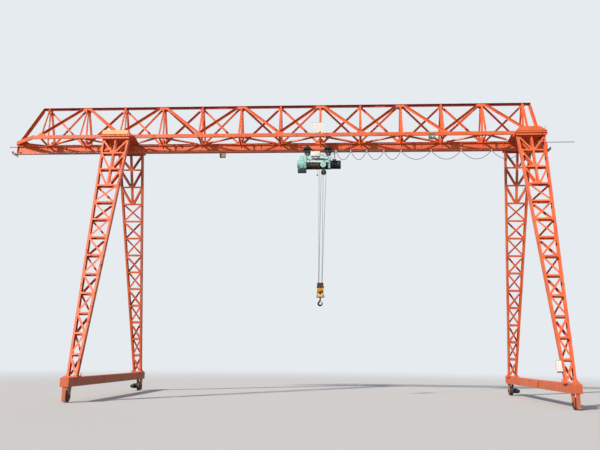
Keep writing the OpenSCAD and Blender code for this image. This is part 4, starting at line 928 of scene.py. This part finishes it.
# %% Trolley fittings
frame_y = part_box("trolley_frames")[1].y
AXLES = (-0.0825, 0.0825)
WHEEL_Z = beam_low.z + 0.016 + 0.0703
PIN_Z = beam_low.z - 0.11
for x in TROLLEYS:
    bolts([(x + dx, frame_y, WHEEL_Z) for dx in AXLES], FAR, 0.026)
    for side in SIDES:
        lathe([(0, 0.036), (0.010, 0.036), (0.012, 0.034), (0.012, 0.026), (0.026, 0.026), (0.030, 0.022)],
              28, facing((x, side * frame_y, PIN_Z), (0, side, 0)))
        tube([(x + dx, side * (frame_y + 0.020), PIN_Z) for dx in (-0.036, 0.036)], 0.003, 6)
piece("trolley_pins", BOLT, "hoist")
for x, side, end in product(TROLLEYS, SIDES, SIDES):
    lathe([(0, 0.018), (0.006, 0.020), (0.02, 0.020), (0.026, 0.013)], 20,
          facing((x + end * 0.165, side * (frame_y - 0.006), beam_low.z + 0.095), (end, 0, 0)))
piece("trolley_buffers", BUFFER, "hoist")
print("axle nuts", len(TROLLEYS) * len(AXLES))

# %% [markdown]
# The relay box is powder coated sheet with a door, two hinges, a lock and a drip edge. The dark box under
# the gearbox has louvres. Rubber cables run from their glands to the motors.

# %% Boxes and cables of the hoist
RELAY_X, RELAY_END = HOOK - 0.44, HOOK - 0.03
RELAY_Y, RELAY_Z = -0.30, beam_low.z - 0.27
FRONT = RELAY_Y - 0.006
block((RELAY_X + 0.012, FRONT, RELAY_Z + 0.012), (RELAY_END - 0.012, RELAY_Y, RELAY_Z + 0.205), 0.003, 2)
block((RELAY_X - 0.006, RELAY_Y - 0.014, RELAY_Z + 0.2253),
      (RELAY_END + 0.006, RELAY_Y + 0.196, RELAY_Z + 0.231), 0.002)
piece("relay_box_door", WHITE, "hoist")

lathe([(0, 0.006), (0.035, 0.006)], 12, [at((RELAY_X + 0.006, FRONT, RELAY_Z + z)) for z in (0.03, 0.15)])
lathe([(0, 0.011), (0.005, 0.011), (0.007, 0.008)], 16,
      facing((RELAY_END - 0.04, FRONT, RELAY_Z + 0.11), NEAR))
relay_glands = [Vector((RELAY_X + dx, RELAY_Y + 0.06, RELAY_Z)) for dx in (0.06, 0.13, 0.28, 0.35)]
lathe(GLAND, 12, [facing(spot, DOWN) for spot in relay_glands])
piece("relay_box_fittings", BOLT, "hoist")

low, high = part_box("control_box")
block((low.x + 0.015, low.y - 0.005, low.z + 0.012), (high.x - 0.015, low.y, high.z - 0.012), 0.003, 2)
for k in range(5):
    z = low.z + 0.045 + k * 0.018
    block((low.x + 0.05, low.y - 0.011, z), (low.x + 0.20, low.y - 0.004, z + 0.007), 0.002)
lathe(GLAND, 12, [facing((high.x - dx, low.y + 0.05, low.z), DOWN) for dx in (0.05, 0.10, 0.15)])
piece("control_box_door", TEAL, "hoist")


def hung(start, end, sag, count=18):
    """Points of a cable that hangs between two places in a parabola."""
    a, b = Vector(start), Vector(end)
    return [a.lerp(b, k / count) - Vector((0, 0, sag * 4 * (k / count) * (1 - k / count)))
            for k in range(count + 1)]


end_y, end_z = gears_low.y + 0.11, TROLLEY_Z - 0.10
RUNS = [(0, TROLLEYS[0] + 0.02, end_y, end_z, 0.03, 0.008),
        (3, TROLLEYS[1] - 0.02, end_y, end_z, 0.05, 0.008),
        (2, motor_low.x + 0.12, -0.225, MOTOR_Z + 0.03, 0.05, 0.011),
        (1, high.x - 0.02, -0.212, DRUM_Z + 0.02, 0.04, 0.010)]
for gland, x, y, z, sag, radius in RUNS:
    tube(hung(relay_glands[gland] - Vector((0, 0, 0.034)), (x, y, z), sag), radius, 8)
piece("hoist_wiring", RUBBER, "hoist")
print("cables on the hoist", len(RUNS))

# %% [markdown]
# The rope guide is a ring that travels along the drum. It gets its clamping bolts and a wearing bush, and the
# upper sheave's pin its keeper plates. The fixed end of the rope sits in a wedge socket.

# %% Rope guide and sheave fittings
GUIDE_X, GUIDE_Y = HOOK + 0.111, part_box("sheave_hanger")[0].y
SHEAVE_X, SHEAVE_Z = HOOK + 0.128, DRUM_Z - 0.30
bolts([(GUIDE_X + 0.098 * c, GUIDE_Y, DRUM_Z + 0.098 * s) for c, s in circle(8, pi / 8)], NEAR, 0.009)
for side in SIDES:
    face, outer = side * 0.0483, side * 0.0533
    lathe([(0, 0.018), (0.008, 0.016)], 20, facing((SHEAVE_X, side * 0.055, SHEAVE_Z), (0, side, 0)))
    block((SHEAVE_X - 0.034, face, SHEAVE_Z + 0.022), (SHEAVE_X + 0.034, outer, SHEAVE_Z + 0.040), 0.001)
    bolts([(SHEAVE_X + dx, outer, SHEAVE_Z + 0.031) for dx in (-0.025, 0.025)], (0, side, 0), 0.006)
bolts([(ROD_END, y, DRUM_Z + z) for y in (-0.125, 0.125) for z in (-0.10, 0.215)], RIGHT, 0.012)
piece("rope_guide_bolts", BOLT, "hoist")

lathe([(0, 0.034), (0, 0.0595), (0.045, 0.0595), (0.050, 0.056), (0.050, 0.040), (0.046, 0.034), (0, 0.034)],
      36, facing((GUIDE_X, GUIDE_Y + 0.041, DRUM_Z), NEAR))
piece("rope_guide_bush", WHITE, "hoist")

BLOCK_REACH, SHEAVE_GAP, GUIDE_R, SOCKET_REACH = 0.1565, 0.067, 0.177, 0.1485
ANCHOR_X = SHEAVE_X - 0.012
ANCHOR_Z = DRUM_Z - sqrt(GUIDE_R ** 2 - SOCKET_REACH ** 2) - 0.001
lathe([(0, 0.020), (0.02, 0.024), (0.09, 0.017), (0.13, 0.011)], 20,
      facing((ANCHOR_X, -BLOCK_REACH, ANCHOR_Z), DOWN))
lathe([(0, 0.009), (0.06, 0.009)], 12, facing((ANCHOR_X, -BLOCK_REACH - 0.03, ANCHOR_Z - 0.035), FAR))
piece("rope_socket", DARK, "hoist")

bolts([(HOOK + dx, -0.0803, beam_low.z - 0.28) for dx in (0.41, 0.44, 0.626)], NEAR, 0.010)
piece("tow_arm_bolts", BOLT, "hoist")
print("guide bolts", 8)

# %% [markdown]
# The hook block gets its axle nuts, keeper plates, guard bolts and grease nipples, and the bent covers that
# keep the rope in the sheaves. The crown and the two aprons leave a slot on each side for the ropes.

# %% Hook block fittings
block_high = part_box("block_frame")[1]
cross_low, cross_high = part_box("hook_crosshead")
BLOCK_Z = (sheaves_low.z + sheaves_high.z) / 2
SHEAVE_R = (sheaves_high.z - sheaves_low.z) / 2
CROSS_Z = BLOCK_Z - 0.397
for side, cap in ((-1, cross_low.x), (1, cross_high.x)):
    out = (side, 0, 0)
    cheek = HOOK + side * (block_high.x - HOOK)
    lathe([(0, 0.046), (0.006, 0.046), (0.008, 0.040), (0.010, 0.024)], 28,
          facing((cheek + side * 0.0082, 0, BLOCK_Z), out))
    bolts([(cheek + side * 0.018, 0, BLOCK_Z)], out, 0.020)
    block((cheek, -0.055, BLOCK_Z - 0.062), (cheek + side * 0.006, 0.055, BLOCK_Z - 0.040), 0.001)
    bolts([(cheek + side * 0.006, y, BLOCK_Z - 0.051) for y in (-0.04, 0.04)], out, 0.008)
    bolts([(cap, 0.045 * cos(a), CROSS_Z + 0.045 * sin(a)) for a in (0.8, 2.36, 3.93, 5.5)], out, 0.010)
    lathe([(0, 0.006), (0.008, 0.004), (0.014, 0.005), (0.018, 0.002)], 10, facing((cap, 0, CROSS_Z), out))
    for face in SIDES:
        bolts([(HOOK + side * 0.1, face * (block_high.y + 0.0043), BLOCK_Z + z) for z in (0.02, -0.05)],
              (0, face, 0), 0.008)
piece("block_bolts", BOLT, "hook_block")

COVER_R = SHEAVE_R + 0.012
REACH = block_high.x - HOOK - 0.001
arc = [radians(a) for a in range(48, 133, 7)]
crown = [(r * cos(a), r * sin(a)) for r, part in ((COVER_R, arc), (COVER_R - 0.005, arc[::-1])) for a in part]
apron = [(0.0003, -0.065), (0.0043, -0.065), (0.0043, 0.108), (-0.011, 0.126), (-0.015, 0.123),
         (0.0003, 0.106)]
across = Matrix(((0, 0, 1, HOOK - REACH), (1, 0, 0, 0), (0, 1, 0, BLOCK_Z), (0, 0, 0, 1)))
for outline in (crown, *([(side * (block_high.y + y), z) for y, z in apron] for side in (1, -1))):
    stamp(plate(outline, 2 * REACH), across)
foot_z = BLOCK_Z + sqrt(COVER_R ** 2 - 0.075 ** 2) - 0.002
for side, y in product(SIDES, (-0.06, 0.06)):
    block((HOOK + side * (REACH - 0.006), y - 0.015, BLOCK_Z + 0.04),
          (HOOK + side * REACH, y + 0.015, foot_z), 0.001)
piece("sheave_covers", COVER_BROWN, "hook_block")
print("block at", round(BLOCK_Z, 3), "m, sheaves", round(2 * SHEAVE_R, 3), "m across")

# %% [markdown]
# A forged hook is thickest at the bottom of its bowl, where it bends most, and tapers to the tip. The frame's
# hook is a plain torus, so this one is a ring of changing radius swept along the same line, slimmed across.

# %% Lifting hook
BOWL_R, BOWL_Z = 0.084, -0.320
BACK, TIP = radians(165), radians(375)
line = [(0, 0.190, 0.031), (0, 0.02, 0.031), (0, -0.10, 0.031), (0, -0.160, 0.0315), (-0.006, -0.192, 0.033),
        (-0.028, -0.226, 0.036), (-0.056, -0.262, 0.038)]
for k in range(15):
    a = BACK + (TIP - BACK) * k / 14
    thick = 0.030 + 0.010 * sin(pi * min(1.0, (k + 3) / 14))
    line.append((BOWL_R * cos(a), BOWL_Z + BOWL_R * sin(a), thick - 0.004 * k / 14))
for s, r in ((0.016, 0.022), (0.032, 0.017), (0.038, 0.010), (0.0395, 0.003)):
    line.append((BOWL_R * cos(TIP) - s * sin(TIP), BOWL_Z + BOWL_R * sin(TIP) + s * cos(TIP), r))
forged = swept([(x, 0, z) for x, z, _ in line], [r for _, _, r in line], 20)
bmesh.ops.scale(forged, vec=(1, 0.82, 1), verts=[v for v in forged.verts if v.co.z < -0.165])
nut = bmesh.new()
bmesh.ops.create_cone(nut, cap_ends=True, segments=6, radius1=0.057, radius2=0.057, depth=0.048)
NUT_Z = CROSS_Z + 0.0833
stamp(forged, at((HOOK, 0, CROSS_Z)))
stamp(bevelled(nut, 0.004, 2), at((HOOK, 0, NUT_Z + 0.024)))
lathe([(0, 0.028), (0.012, 0.028), (0.016, 0.024)], 24, at((HOOK, 0, NUT_Z + 0.048)))
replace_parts(piece("forged_hook", DARK, "hook"), "lifting_hook")

start, end = Vector((HOOK + 0.018, 0, CROSS_Z - 0.205)), Vector((HOOK + 0.070, 0, CROSS_Z - 0.272))
latch = [start.lerp(end, k / 6) + Vector((0.006 * sin(pi * k / 6), 0, 0)) for k in range(7)]
tube(latch, [0.012, 0.012, 0.011, 0.010, 0.009, 0.008, 0.006], 12)
lathe([(0, 0.008), (0.066, 0.008)], 12, facing((start.x, -0.033, start.z), FAR))
piece("hook_latch", BOLT, "hook")
print("hook bowl", round(2 * BOWL_R - 0.076, 3), "m wide inside")

# %% [markdown]
# The ropes are taut, so each fall is a straight tube down to the block, and a half turn lies round each
# sheave. The tube's UV map is what the material draws the six strands from.

# %% Ropes
UPPER_REACH = 0.1086
ROPE_LOW = BLOCK_Z + 0.006
FALLS = [(-SHEAVE_GAP, -BLOCK_REACH, (HOOK - 0.070, -BLOCK_REACH, DRUM_Z - 0.005)),
         (SHEAVE_GAP, -BLOCK_REACH, (ANCHOR_X, -BLOCK_REACH, ANCHOR_Z)),
         (-SHEAVE_GAP, BLOCK_REACH, (SHEAVE_X - UPPER_REACH, 0, SHEAVE_Z)),
         (SHEAVE_GAP, BLOCK_REACH, (SHEAVE_X + UPPER_REACH, 0, SHEAVE_Z))]
for k, (dx, y, top) in enumerate(FALLS, 1):
    low = (HOOK + dx, y, ROPE_LOW)
    tube([top, low], ROPE_R, 12)
    fall = piece("rope_fall_%d" % k, ROPE, None)
    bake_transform(fall)
    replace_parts(fall, "hoist_ropes")
    print(fall.name, round((Vector(top) - Vector(low)).length, 2), "m")

half = circle(32)[:17]
for side in SIDES:
    tube([(HOOK + side * SHEAVE_GAP, -BLOCK_REACH * c, ROPE_LOW - BLOCK_REACH * s) for c, s in half], ROPE_R)
piece("block_rope_turns", ROPE, "hook_block")
tube([(SHEAVE_X - UPPER_REACH * c, 0, SHEAVE_Z + UPPER_REACH * s) for c, s in half], ROPE_R)
piece("upper_rope_turn", ROPE, "hoist")

# %% [markdown]
# The festoon carries power to the hoist. Its cable hangs in loops between small carriers that roll on a wire,
# and the tow arm pulls the first one. Each loop is a tube that stretches between its two carriers, and the
# last one ends in a fixed clamp.

# %% Festoon
CARRIERS = ["lead_carrier"] + ["carrier_%d" % i for i in range(1, 8)]
CARRIER_L, CABLE_R, SAG, HANG = 0.046, 0.012, 0.36, 0.06
PLACES = [sum(corner.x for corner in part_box(name)) / 2 for name in CARRIERS] + [LEGS[1] - 0.25]


def carrier(x):
    """Two grooved rollers on the wire, a side plate, and the saddle that the cable lies in."""
    bench.append(bmesh.new())
    lathe([(0, 0.013), (0.003, 0.013), (0.006, 0.0105), (0.010, 0.0105), (0.013, 0.013), (0.016, 0.013)], 20,
          [facing((dx, -0.008, 0.0150), FAR) for dx in (-0.0140, 0.0140)])
    for wide, y, z, far_y, top in ((0.023, -0.0150, -HANG - 0.012, -0.0125, 0.030),
                                   (0.023, -0.0150, 0.0290, 0.011, 0.0315),
                                   (0.023, -0.0150, -HANG - 0.0165, 0.014, -HANG - 0.0125),
                                   (0.023, 0.0115, -HANG - 0.014, 0.014, -HANG + 0.010),
                                   (0.020, -0.0130, -HANG + 0.0125, 0.014, -HANG + 0.0150)):
        block((-wide, y, z), (wide, far_y, top), 0.001)
    bolts([(-0.014, -0.0150, 0.015), (0.014, -0.0150, 0.015), (0, -0.0150, -0.030)], NEAR, 0.005)
    stamp(bench.pop(), at((x, WIRE_Y, WIRE_Z)))


def cable_end(x):
    return (x, WIRE_Y, WIRE_Z - HANG)


for name, x in zip(CARRIERS, PLACES):
    carrier(x)
    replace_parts(piece(name + "_rollers", ZINC, name), name)
    tube([cable_end(x - CARRIER_L / 2), cable_end(x + CARRIER_L / 2)], CABLE_R)
    piece(name + "_cable", RUBBER, name)

for k, (a, b) in enumerate(zip(PLACES, PLACES[1:])):
    start, end = cable_end(a + CARRIER_L / 2), cable_end(b - CARRIER_L / 2)
    tube(hung(start, end, SAG, 24), CABLE_R, 8)
    loop = piece("festoon_loop_%d" % (k + 1), RUBBER, None)
    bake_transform(loop)
    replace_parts(loop, "festoon_cable")

gland = Vector((RELAY_END, RELAY_Y + 0.095, RELAY_Z + 0.12))
tube(hung(cable_end(PLACES[0] - CARRIER_L / 2 - 0.009), gland + Vector((0.012, 0, 0)), 0.15, 24), CABLE_R)
lathe(GLAND, 12, facing(gland, RIGHT))
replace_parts(piece("feed_cable", RUBBER, "hoist"), "hoist_cable")
print("festoon loops", len(PLACES) - 1)
